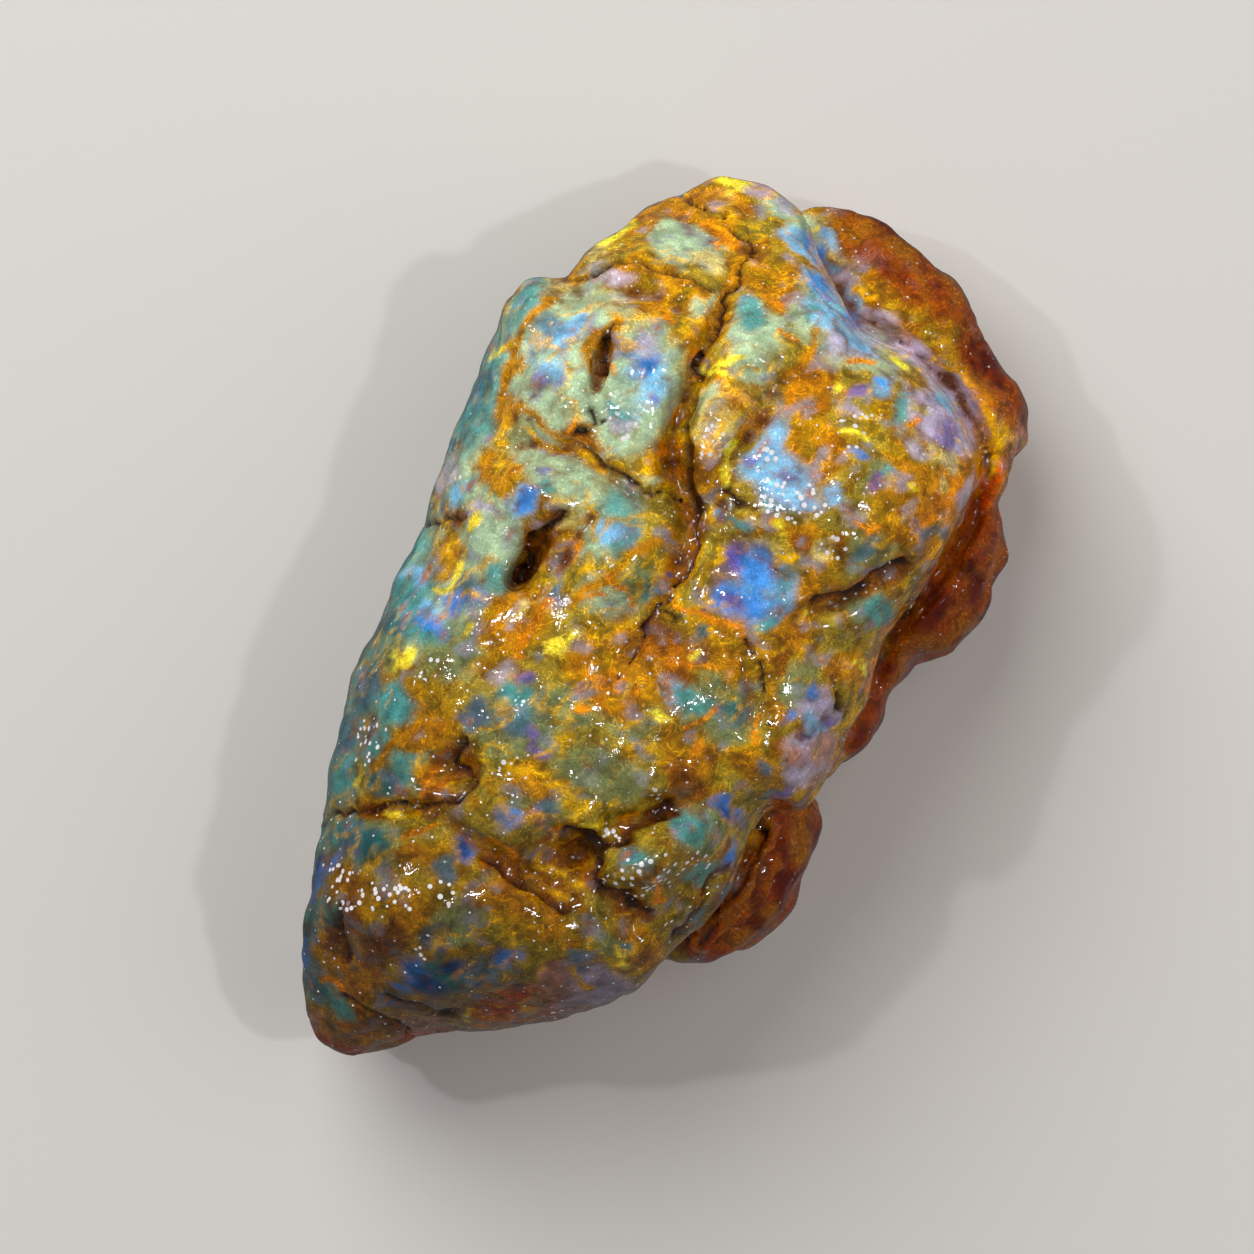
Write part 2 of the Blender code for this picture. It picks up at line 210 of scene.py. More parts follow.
plan = drifted(skin.points, [(2.2, 0.55), (0.9, 0.32)])
ragged = 0.6 * cloudy(skin.points, 1.5, 5.0) + 0.4 * cloudy(skin.points, 0.7, 6.0)
facing_up = step(skin.normals()[:, 2] + 0.2 * ragged, -0.2, 0.25)
print("points that face up:", int((facing_up > 0.5).sum()))

# %% [markdown]
# ## Spots and strokes
#
# Seen from above, the stone is a patchwork. A painter would lay it down as spots and
# strokes, so the plan is written as tables of both, in millimetres. A spot is a middle, two
# radii and, if it leans, a turn in degrees. A stroke is a half width and a few points of its
# route. The cracks come first, because the relief needs them.

# %% Measure spots and strokes
def spots(points, table):
    """The strongest of a table's spots at each point: 1 in a middle and 0.5 on its edge."""
    strongest = np.zeros(len(points))
    for x, y, across, along, *turn in table:
        lean = math.radians(sum(turn))
        c = math.cos(lean)
        s = math.sin(lean)
        dx = points[:, 0] - x
        dy = points[:, 1] - y
        u = (dx * c + dy * s) / across
        v = (dy * c - dx * s) / along
        strongest = np.maximum(strongest, np.clip(1.0 - 0.5 * (u * u + v * v), 0.0, 1.0))
    return strongest


def strokes(points, table):
    """As for spots: 1 along a stroke's middle and 0.5 at its half width."""
    strongest = np.zeros(len(points))
    for half_width, route in table:
        route = np.array(route, float)
        nearest = np.full(len(points), np.inf)
        for a, b in zip(route[:-1], route[1:]):
            run = b - a
            along = np.clip(((points[:, :2] - a) @ run) / (run @ run), 0.0, 1.0)
            gap = points[:, :2] - a - along[:, None] * run
            nearest = np.minimum(nearest, np.hypot(gap[:, 0], gap[:, 1]))
        strongest = np.maximum(strongest, np.clip(1.0 - 0.5 * nearest / half_width, 0.0, 1.0))
    return strongest


print("a spot is", spots(np.zeros((1, 3)), [(1.0, 0.0, 1.0, 1.0)])[0], "strong on its edge")

# %% Draw the cracks
CRACKS = [
    (0.13, [(-6.0, 23.8), (-5.3, 23.2), (-5.2, 21.6), (-5.3, 19.6), (-5.0, 17.6), (-4.9, 16.2)]),
    (0.13, [(-4.9, 16.2), (-4.5, 15.2), (-4.4, 14.0), (-4.0, 12.6)]),
    (0.30, [(-4.0, 12.6), (-3.4, 11.7), (-2.8, 10.9), (-2.1, 9.9), (-1.3, 9.0), (-0.8, 8.2)]),
    (0.14, [(-0.8, 8.2), (-0.4, 6.8), (-0.1, 5.2), (-0.2, 3.0), (-0.3, 2.0)]),
    (0.12, [(-0.3, 2.0), (-0.3, 0.6), (-0.5, -0.4), (-0.6, -1.9)]),
    (0.20, [(-0.3, 10.5), (0.3, 10.3), (1.0, 10.2), (1.5, 10.4)]),
    (0.13, [(-11.6, 24.6), (-9.4, 24.6), (-7.6, 24.4), (-6.2, 23.8)]),
    (0.13, [(-14.4, 17.2), (-12.8, 17.8), (-12.0, 19.2), (-10.4, 19.7), (-8.8, 20.2), (-6.2, 20.0)]),
    (0.20, [(-10.4, 15.7), (-10.1, 14.6), (-9.9, 13.8), (-9.5, 13.0)]),
    (0.16, [(-9.2, 10.7), (-8.7, 10.2), (-8.3, 10.6)]),
    (0.18, [(-9.3, 9.5), (-8.8, 9.3), (-8.5, 9.7)]),
    (0.16, [(-8.4, 8.6), (-6.8, 7.9), (-5.4, 8.2), (-3.8, 8.2), (-1.8, 8.5)]),
    (0.22, [(-8.1, 5.0), (-8.0, 4.2), (-8.4, 3.2), (-8.6, 2.2), (-8.1, 1.4)]),
    (0.14, [(-14.9, 0.5), (-14.4, 1.3), (-13.6, 1.8), (-12.6, 1.8)]),
    (0.28, [(7.2, 7.2), (8.3, 8.2), (9.0, 9.0), (9.6, 9.9), (10.2, 11.0), (10.9, 11.6)]),
    (0.14, [(4.6, 3.6), (5.8, 2.8), (7.0, 1.4), (8.0, 0.5), (8.6, 0.1)]),
    (0.14, [(10.1, 3.8), (10.8, 3.2), (11.4, 2.4), (11.8, 1.7)]),
    (0.30, [(1.0, -11.2), (2.4, -10.6), (3.9, -9.8), (4.8, -8.4), (5.7, -7.0)]),
    (0.30, [(3.0, -11.4), (3.4, -12.6), (4.4, -13.2), (5.6, -12.7), (7.4, -12.7)]),
    (0.20, [(-12.0, -17.4), (-10.4, -15.8), (-9.2, -14.9), (-7.8, -13.9), (-6.2, -13.2), (-5.2, -12.6)]),
    (0.18, [(-2.6, -14.4), (-0.8, -14.9), (1.0, -15.1), (3.0, -15.0)]),
    (0.20, [(-7.0, -9.2), (-6.4, -10.4), (-5.4, -10.9), (-5.2, -12.4)]),
    (0.20, [(-8.6, -20.8), (-8.2, -21.8), (-7.2, -22.8), (-6.6, -23.8)]),
    (0.16, [(-6.0, -25.5), (-4.2, -25.4), (-2.4, -25.6), (-1.0, -25.9)]),
    (0.14, [(-3.6, -24.3), (-1.6, -23.9), (0.2, -23.5)]),
    (0.16, [(10.4, -5.0), (11.0, -6.2), (11.3, -7.4), (11.2, -9.0), (10.9, -10.8), (10.2, -12.6),
            (9.8, -13.8)]),
    (0.16, [(12.2, -4.6), (12.2, -6.6), (12.0, -8.4), (11.8, -10.6), (11.2, -12.4), (10.7, -13.3)]),
    (0.14, [(13.2, -5.6), (13.5, -7.6), (13.2, -9.8), (12.4, -11.6), (11.4, -13.2)]),
    (0.16, [(9.9, -8.6), (9.4, -10.0), (9.3, -11.8), (9.4, -13.4)]),
    (0.20, [(13.2, 13.8), (14.4, 12.5), (15.2, 12.8)]),
    (0.20, [(9.0, 25.6), (8.8, 24.9), (9.6, 24.2), (10.0, 23.4)]),
]
cracks = step(strokes(plan, CRACKS) + 0.22 * ragged, 0.35, 0.95) * facing_up
print("cracks:", len(CRACKS), "routes")

# %% [markdown]
# ## Fine relief
#
# Close up the stone is never smooth. Soft folds a few millimetres wide run over it, beads
# and dimples under a millimetre cover the folds, and narrow cracks run along the floors of
# the clefts. Sculpting by hand isn't possible in a script, so each point is moved along its
# normal by a few kinds of noise and by the cracks, and away from the smoothed stone, which
# sharpens what the solid already has. The flat on which the stone rests stays flat.

# %% Fold, bead and crack the skin
# The size of a fold or bead and how far it stands proud, in millimetres
FOLDS = [(3.4, 0.14), (1.7, 0.07)]
BEAD_SIZE = 0.9
BEAD_STAND = 0.05
SHARPENED = 0.7
SHARPENING_ROUNDS = 14
CRACK_DEPTH = 0.38
FLAT_BELOW = 0.06
FACING_DOWN = -0.9

rise = SHARPENED * -skin.hollows(SHARPENING_ROUNDS) - CRACK_DEPTH * cracks
for seed, (size, stand) in enumerate(FOLDS):
    rise += stand * folded(skin.points, size, 3.0 + seed)
rise += BEAD_STAND * cloudy(skin.points, BEAD_SIZE, 11.0)
on_flat = (skin.points[:, 2] < FLAT_BELOW) & (skin.normals()[:, 2] < FACING_DOWN)
raised = skin.points + skin.normals() * rise[:, None]
raised[:, 2] = np.where(on_flat, 0.0, np.maximum(raised[:, 2], 0.0))
skin.move_to(raised)
print("relief from", rise.min().round(2), "to", rise.max().round(2), "mm")

# %% [markdown]
# ## The painter's colours
#
# Two families cover the stone. The warm ones are resin seen through stain, from lemon over
# gold to umber, with a near black that is painted shade. The cool ones are the cloudy bloom of
# the clean skin, from cream over mint to deep blue. Each has a plain name, so that the tables
# below read like a paint plan.

# %% Name the colours
COLOURS = {
    "lemon": (0.95, 0.76, 0.10), "honey": (0.72, 0.40, 0.030), "gold": (0.46, 0.205, 0.008),
    "orange": (0.68, 0.24, 0.006), "brown": (0.24, 0.080, 0.003), "umber": (0.090, 0.020, 0.001),
    "shade_black": (0.014, 0.003, 0.001), "rust": (0.56, 0.090, 0.001), "red": (0.16, 0.009, 0.001),
    "olive": (0.20, 0.14, 0.022), "moss": (0.33, 0.24, 0.040), "sage": (0.21, 0.25, 0.105),
    "mint": (0.42, 0.56, 0.36), "cream": (0.70, 0.56, 0.20), "peach": (0.72, 0.38, 0.10),
    "teal": (0.10, 0.34, 0.33), "sea": (0.035, 0.16, 0.18), "slate": (0.09, 0.16, 0.20),
    "sky": (0.25, 0.53, 0.80), "azure": (0.07, 0.27, 0.80), "deep": (0.030, 0.075, 0.27),
    "violet": (0.16, 0.10, 0.42), "lilac": (0.50, 0.44, 0.60), "rose": (0.48, 0.25, 0.18),
}
print("colours:", len(COLOURS))

# %% [markdown]
# ## The paint plan
#
# The plan goes from large to small: broad washes, then patches, then thin touches of gold,
# orange and lemon, and last the places where white points, painted highlights, crowd together.
# Within a table, what is listed later covers what is listed earlier, as wet paint would.

# %% List the broad washes
BROAD = [
    ("moss", [(0, 6, 12, 20), (2, -10, 12, 14)]),
    ("mint", [
        (-11.5, 12.5, 4.0, 4.8), (-7.4, 13.0, 2.2, 3.6), (-9.0, 21.9, 2.4, 1.3),
        (-9.2, 6.8, 3.0, 1.5), (-15.4, 12.5, 1.2, 4.5), (-3.0, 19.2, 1.6, 1.6),
        (-5.4, 5.6, 1.6, 2.4, -10), (-13.6, 4.0, 1.8, 2.2), (-10.6, 1.6, 1.6, 2.4),
        (-13.8, -4.0, 1.6, 4.5), (-11.6, -3.4, 2.0, 2.6), (-4.0, 26.4, 2.2, 0.9),
        (1.6, 21.6, 3.6, 1.8), (-3.4, 1.8, 1.5, 1.2), (-6.6, 11.0, 1.4, 1.8),
    ]),
    ("sage", [
        (-13.2, -6.6, 1.2, 2.2), (-9.6, -5.0, 2.0, 1.8), (-12.2, -12.6, 2.0, 4.0),
        (-4.6, -7.0, 2.2, 2.0), (0.8, -7.2, 2.6, 1.6), (5.4, -0.6, 2.4, 2.2), (8.3, 2.4, 1.2, 1.6),
        (7.4, -7.4, 1.8, 1.6), (-8.4, -16.8, 2.2, 1.4), (0.6, -3.4, 2.2, 1.4),
        (-2.4, -4.8, 1.6, 1.2), (-1.2, -10.8, 1.8, 1.2), (-2.0, 3.4, 1.2, 1.2),
        (6.8, -15.6, 1.2, 1.0), (9.8, 8.4, 1.6, 1.4), (8.6, 11.8, 1.6, 1.8),
        (-8.6, -12.4, 1.4, 1.6), (5.2, -10.6, 1.2, 0.8), (-7.2, -25.6, 1.8, 1.2),
        (-2.4, -18.8, 1.4, 1.2), (7.2, 15.2, 1.0, 1.2),
    ]),
    ("lilac", [
        (9.2, 20.4, 2.4, 2.4), (6.0, 22.6, 2.6, 0.8, -8), (11.0, -0.8, 1.3, 1.6),
        (6.0, -18.6, 2.4, 1.6, 20), (2.0, 21.9, 1.6, 1.4), (10.3, 1.6, 1.1, 1.0),
    ]),
    ("gold", [
        (-8.6, 18.6, 2.4, 1.4), (-12.4, 5.2, 1.5, 1.1), (-3.0, 10.4, 2.2, 1.8),
        (9.6, 14.4, 2.6, 2.2), (3.0, 14.8, 1.8, 1.8), (12.4, 17.8, 1.2, 2.4),
        (-3.2, 22.4, 1.6, 1.4), (6.8, 5.4, 1.2, 2.6), (4.0, 2.4, 2.6, 1.6), (-0.8, -1.6, 3.0, 2.6),
        (-7.4, -1.6, 1.6, 2.4), (-9.2, -9.2, 1.8, 1.4), (-2.4, -9.4, 1.6, 0.9),
        (0.6, -16.2, 3.2, 1.2), (8.0, -15.0, 1.4, 1.4), (11.2, 4.6, 1.6, 1.0),
        (12.4, -8.6, 1.4, 3.6), (-5.6, -24.0, 1.8, 1.4), (5.4, -4.4, 1.8, 1.6),
        (-13.4, 8.6, 1.0, 1.0), (-8.0, 25.4, 1.8, 0.8), (-4.8, -19.4, 0.9, 1.4),
        (2.4, -21.6, 1.8, 1.2, 30), (-12.6, -0.6, 1.0, 1.4), (-0.6, 5.0, 0.9, 2.4),
        (8.6, -2.8, 1.6, 1.0), (-11.8, 22.0, 0.8, 2.2, -15), (12.0, 14.0, 1.0, 2.0),
        (-10.2, 24.4, 1.8, 1.4), (-5.4, 17.4, 0.9, 2.0), (-3.2, 15.2, 1.8, 1.4),
        (1.2, 17.4, 1.4, 2.0), (6.8, 6.4, 1.4, 3.6),
    ]),
    ("orange", [
        (-1.0, -2.4, 0.9, 0.8), (1.2, 1.0, 1.8, 0.8), (-6.8, 3.4, 0.9, 0.9),
        (2.6, -22.4, 2.2, 0.8, 30), (-0.6, -25.0, 1.6, 0.5, 15), (-7.0, -11.6, 1.0, 1.0),
        (-8.6, 9.2, 1.2, 0.6), (10.8, 16.0, 0.9, 2.4), (11.8, 22.6, 2.0, 0.8, -35),
        (13.6, 17.4, 0.9, 2.2), (7.2, 7.0, 0.8, 1.4), (-7.2, 23.4, 1.6, 0.5),
    ]),
    ("brown", [
        (-3.2, 10.6, 1.6, 1.0, -40), (-1.4, 7.6, 1.4, 1.3), (-9.0, 9.2, 1.5, 0.7),
        (-9.9, 14.6, 0.6, 1.9, 12), (-5.2, 23.4, 0.9, 0.8), (-8.0, 3.0, 1.0, 2.2, -5),
        (0.3, 1.6, 0.9, 1.8), (8.8, 8.8, 0.8, 2.6, -45), (1.8, -12.2, 1.9, 1.6),
        (0.4, -14.4, 3.4, 0.8), (6.0, -12.9, 1.9, 0.7, 8), (-6.4, -10.6, 1.4, 1.4),
        (-6.8, -13.2, 1.6, 0.9, 20), (-9.2, -15.1, 1.2, 0.7, 15), (5.6, -5.4, 1.2, 1.0),
        (-7.8, -21.8, 1.0, 1.4, 20), (-5.4, -21.6, 0.9, 1.4), (-3.4, -26.0, 1.8, 0.6),
        (2.3, 0.0, 1.1, 0.5), (10.6, 11.0, 0.8, 1.0), (13.0, 15.0, 0.7, 2.4), (9.2, -1.0, 0.5, 1.0),
        (11.4, -9.6, 1.4, 3.6), (3.6, 26.6, 5.4, 1.8, -6), (-13.0, 1.9, 0.8, 0.6),
        (-2.4, -14.6, 0.5, 0.4), (6.8, 3.0, 0.6, 0.9), (5.3, 9.7, 0.9, 0.5), (6.7, 10.7, 0.6, 0.5),
    ]),
    ("rust", [
        (11.2, 23.8, 2.6, 1.8, -35), (14.6, 14.0, 1.4, 3.6), (15.0, 10.8, 1.2, 2.6),
        (12.2, -4.4, 1.6, 1.0), (13.2, -9.0, 0.9, 4.4, 10), (3.6, -20.8, 2.6, 1.2, 32),
        (11.6, -13.0, 2.0, 1.0, 35), (13.2, 17.8, 0.6, 2.0),
    ]),
    ("red", [
        (13.4, 4.0, 0.9, 4.2), (13.6, 8.6, 1.3, 1.9), (13.2, 11.4, 0.9, 1.6),
        (14.5, -8.0, 0.5, 4.0, 8), (11.8, -3.8, 1.2, 0.7),
    ]),
    ("teal", [
        (-16.0, 8.0, 2.0, 4.0), (-15.4, -4.0, 2.2, 5.5), (-14.2, -12.0, 1.9, 5.0, 8),
        (-12.2, -20.0, 2.0, 5.0, 10), (-10.2, -25.5, 1.9, 3.0, 20), (-12.2, -4.4, 2.0, 1.2),
        (-9.8, -17.2, 2.0, 0.9, 10), (-7.4, -26.0, 1.6, 0.8), (-1.6, -21.8, 1.6, 1.0, 20),
        (-5.0, -5.8, 1.2, 1.2), (-11.6, -9.4, 1.4, 1.2), (-9.4, -22.6, 0.9, 1.8, -10),
    ]),
    ("sky", [
        (0.2, 22.6, 1.8, 1.5, -10), (1.8, 12.4, 2.0, 1.4), (-7.2, 13.6, 1.1, 2.0),
        (4.2, 6.4, 1.8, 1.8), (-2.4, 25.2, 1.8, 0.7, -10), (-12.8, 12.8, 1.2, 1.5),
    ]),
]
print("broad washes:", sum(len(table) for _, table in BROAD), "spots")

# %% List the patches
PATCHES = [
    ("mint", [
        (-6.3, 19.0, 0.6, 0.8), (-2.5, 17.3, 1.1, 1.0), (-3.5, 14.3, 0.5, 0.9),
        (-8.9, 7.3, 1.9, 0.6), (-7.8, 12.5, 1.4, 0.7), (-7.5, 9.9, 0.6, 0.6),
        (-11.6, 9.7, 1.5, 0.8), (-4.3, 9.0, 0.7, 0.3, 10), (0.2, 9.2, 0.5, 0.9),
        (-11.6, 3.6, 1.0, 0.4), (-3.7, 1.5, 0.9, 0.5, 10), (-12.8, 12.4, 0.8, 0.8),
    ]),
    ("cream", [
        (-7.2, 21.5, 1.0, 0.5), (-7.4, 4.8, 0.5, 0.6), (-1.3, 26.2, 0.8, 0.4, -40),
        (-7.4, -1.0, 0.3, 0.8), (6.4, 9.9, 0.5, 0.8), (9.8, 17.6, 1.2, 0.6),
        (3.3, 8.6, 0.9, 0.3, 10), (-13.3, 19.2, 0.5, 0.8), (-11.4, 12.3, 0.3, 0.6),
        (10.6, 16.3, 0.5, 0.4), (-2.6, 13.4, 0.9, 1.6), (7.5, 19.9, 0.6, 0.3),
        (4.0, 12.2, 0.6, 0.4), (2.2, 9.6, 0.6, 0.3), (-11.9, 14.1, 0.7, 0.2, 5),
    ]),
    ("peach", [
        (-16.2, 15.8, 0.5, 1.8, -12), (-2.2, 15.4, 0.9, 0.8), (-14.2, 15.4, 0.25, 0.9, -10),
        (4.6, 23.4, 1.0, 0.5), (-6.1, 26.8, 0.3, 0.3), (-4.2, 27.0, 0.25, 0.35),
        (15.4, 12.4, 0.7, 1.2), (14.8, 10.8, 0.6, 0.9), (3.8, -20.7, 0.5, 0.8),
        (8.5, -6.2, 0.35, 0.35, 30), (9.2, -7.6, 0.25, 0.45), (-2.2, 12.0, 0.5, 0.8),
        (11.2, 23.0, 1.0, 0.35, -20), (-8.3, 25.7, 1.0, 0.35), (10.2, 4.6, 1.0, 0.3),
    ]),
    ("teal", [
        (-15.3, 14.4, 0.7, 1.6), (-9.4, 0.0, 1.2, 0.8), (-13.6, 3.0, 0.6, 0.9),
        (-15.3, 7.2, 0.6, 1.2), (-4.6, 5.4, 1.0, 1.2), (-5.2, 6.9, 1.0, 0.8),
        (-1.5, 22.7, 0.9, 0.35), (-0.8, 21.6, 0.3, 0.6), (-3.6, 19.8, 0.9, 0.9),
        (-13.2, -3.4, 1.4, 1.6), (-8.8, -12.0, 0.8, 1.1), (3.6, -1.0, 1.6, 0.7),
        (6.9, -7.6, 1.2, 0.9), (4.8, 7.2, 0.6, 0.8), (5.2, 5.2, 0.5, 0.7), (1.5, 9.0, 0.6, 0.3),
        (-9.4, 5.5, 0.5, 0.4), (6.4, 19.2, 0.5, 0.8), (-11.0, -11.8, 0.6, 0.9),
        (10.7, 8.6, 0.8, 0.7), (8.8, -9.6, 0.7, 0.8), (-5.7, -26.4, 0.8, 0.5),
        (-12.0, -15.0, 1.0, 1.6), (3.0, 10.9, 1.0, 0.3), (7.5, 15.6, 0.4, 0.4),
        (-8.0, 11.6, 0.7, 0.4), (5.0, -10.6, 0.9, 0.5),
    ]),
    ("sea", [
        (-15.4, 9.1, 0.45, 1.0), (-14.7, -1.2, 0.3, 1.4), (-14.3, -7.0, 0.4, 1.3),
        (-13.6, -5.4, 0.8, 0.6), (-9.8, -13.5, 1.0, 0.7), (-8.2, -17.0, 1.3, 0.7),
        (-8.0, -25.8, 1.5, 0.6), (-9.4, -23.2, 0.6, 1.4, -10), (7.0, -15.3, 0.6, 0.4),
        (-1.6, -21.8, 1.2, 1.2), (5.8, -0.7, 0.5, 0.6), (10.0, -3.7, 0.4, 0.5),
        (-1.3, 3.4, 0.6, 0.6), (2.5, 2.6, 0.5, 0.4),
    ]),
    ("slate", [
        (-13.5, 13.8, 0.8, 0.9), (-15.2, 5.4, 0.6, 0.4), (-10.3, -1.6, 0.9, 0.9),
        (-12.8, -11.6, 1.0, 1.4), (-13.2, -9.4, 0.7, 1.6), (6.7, -0.6, 0.5, 0.8),
        (11.2, 13.7, 0.6, 0.5), (14.9, 15.0, 0.5, 0.9), (-3.9, -16.0, 0.6, 0.9),
        (-0.7, -10.3, 0.7, 0.6), (10.9, -9.9, 0.4, 1.1, -12), (9.8, -11.7, 0.3, 0.6),
        (5.0, -17.2, 1.0, 0.6), (-3.2, -24.3, 1.4, 0.4), (0.6, -20.4, 1.6, 1.2, 35),
        (-4.6, -6.9, 1.0, 0.7), (-6.3, 0.7, 0.3, 0.5), (-9.7, -17.5, 0.6, 0.6),
        (-6.7, -7.7, 0.6, 1.0), (-3.0, -19.6, 0.7, 0.7), (9.0, -2.6, 0.5, 0.4),
        (-8.6, 15.2, 0.5, 0.8), (8.5, 11.3, 0.6, 0.8), (-5.1, -3.0, 0.5, 0.4),
    ]),
    ("sky", [
        (-2.3, 25.4, 1.0, 0.6, -10), (-0.6, 23.3, 1.6, 0.6, -10), (2.4, 21.7, 1.2, 0.8),
        (-1.8, 26.5, 1.0, 0.35, -10), (-12.0, 14.7, 0.5, 1.0, -15), (-12.5, 13.6, 0.6, 0.6),
        (-7.5, 14.8, 0.8, 0.9), (0.8, 13.7, 0.8, 1.3), (1.5, 12.3, 0.8, 0.5),
        (-10.1, 4.2, 0.8, 0.9), (-13.6, 2.9, 0.4, 0.7), (-11.9, -3.5, 0.6, 0.5),
        (-13.7, -2.4, 0.6, 0.5), (-5.2, 5.1, 0.8, 0.7), (8.4, 21.2, 1.0, 0.5),
        (4.7, 19.7, 0.8, 0.6), (5.3, 13.0, 0.6, 0.6), (2.6, 12.5, 1.0, 0.5, 20),
        (3.6, 11.8, 1.0, 0.6), (4.5, 6.6, 0.8, 1.0), (-12.4, 11.5, 0.6, 0.6), (1.3, 23.0, 1.0, 0.6),
        (-6.5, 12.9, 0.6, 0.4), (10.6, 0.9, 0.8, 0.4),
    ]),
    ("azure", [
        (-2.2, 25.4, 0.6, 0.4), (-0.8, 23.3, 0.9, 0.3, -10), (-7.4, 14.6, 0.4, 0.9),
        (-10.0, 4.3, 0.6, 0.8), (-10.8, -2.5, 0.6, 0.5), (-11.4, -4.4, 0.8, 0.6),
        (3.2, 6.9, 1.2, 1.5), (2.8, 5.0, 1.0, 1.2), (4.2, 5.6, 0.8, 1.3), (5.4, 15.6, 0.5, 0.2),
        (0.7, 8.8, 0.35, 0.3), (8.4, -5.6, 1.1, 0.5), (9.6, -8.2, 0.4, 1.2),
        (-3.8, -14.3, 0.7, 0.8), (-2.5, -11.7, 0.7, 0.6), (9.2, 0.6, 0.4, 0.4),
        (9.4, 2.5, 0.35, 0.6), (-3.0, -22.3, 0.9, 0.9), (-3.2, -23.4, 0.9, 0.3, 8),
        (-10.4, -20.6, 0.5, 1.9, -10), (1.3, -19.0, 0.9, 0.4, 25), (-9.1, -24.4, 0.5, 0.9, -10),
        (2.3, 12.8, 0.5, 0.3, 20), (1.9, 22.6, 0.6, 0.5), (4.5, 19.9, 0.5, 0.35),
    ]),
    ("deep", [
        (2.0, 7.3, 0.5, 0.8), (-3.8, -14.5, 0.5, 0.6), (8.5, -5.9, 0.9, 0.35),
        (-2.0, -22.6, 0.9, 0.6, 20), (-1.2, -20.9, 1.0, 0.5, 40), (0.7, 8.8, 0.2, 0.18),
        (-10.6, -19.8, 0.35, 1.1, -10), (10.2, 0.3, 0.3, 0.2), (-1.0, 4.7, 0.25, 0.3),
    ]),
    ("violet", [
        (1.9, 6.5, 0.5, 0.9, 10), (-12.5, 10.9, 0.4, 0.5), (2.9, 4.9, 0.5, 0.35),
        (-9.8, 6.3, 0.5, 0.25, 20), (7.1, 14.8, 0.35, 0.6), (3.7, 18.9, 0.4, 0.5),
        (11.1, 1.3, 0.3, 0.4), (10.5, -3.2, 0.25, 0.7), (-2.5, -7.7, 0.5, 0.35),
        (-3.4, -7.0, 0.6, 0.25, -35), (-6.4, 13.0, 0.3, 0.3), (-5.4, -4.5, 0.6, 0.35),
        (9.2, 19.2, 0.5, 0.9, 10), (0.3, 12.5, 0.5, 0.35),
    ]),
    ("lilac", [
        (-11.3, 18.3, 0.8, 0.6, 20), (-6.8, 26.8, 0.8, 0.5), (-0.4, 24.6, 1.4, 0.4),
        (3.1, 23.5, 0.8, 0.4), (-14.9, 3.8, 0.6, 1.2, 10), (9.9, 2.7, 0.4, 0.4),
        (10.9, -2.0, 0.8, 0.7), (8.3, 17.4, 1.0, 0.4), (3.9, 17.6, 0.7, 0.3),
        (5.5, -19.6, 1.0, 0.9), (-6.6, -4.7, 0.5, 0.7), (1.8, 20.6, 0.7, 0.6),
        (-8.3, 15.6, 0.5, 0.5), (12.0, 16.7, 0.35, 1.3), (-5.0, 26.7, 0.7, 0.4),
        (7.6, -17.2, 1.4, 0.6), (-11.6, 2.9, 0.9, 0.4), (8.6, 15.2, 0.4, 0.4),
        (-7.4, 10.9, 0.6, 0.5), (-1.9, 11.4, 0.5, 0.35),
    ]),
    ("rose", [
        (11.6, -0.3, 0.9, 0.8), (10.4, -0.9, 0.8, 0.6), (12.3, -2.3, 0.4, 0.7),
        (13.2, 21.2, 0.8, 1.2), (4.2, -19.0, 0.9, 0.9), (-1.2, -24.8, 1.6, 0.7, 15),
        (-4.6, -28.2, 1.8, 0.6), (-7.4, -27.8, 1.0, 0.6), (-1.2, -11.2, 0.6, 0.5),
        (-0.8, -21.3, 0.2, 0.5), (11.4, 21.0, 0.7, 0.6), (-14.5, 2.6, 0.5, 0.3),
    ]),
]
print("patches:", sum(len(table) for _, table in PATCHES), "spots")

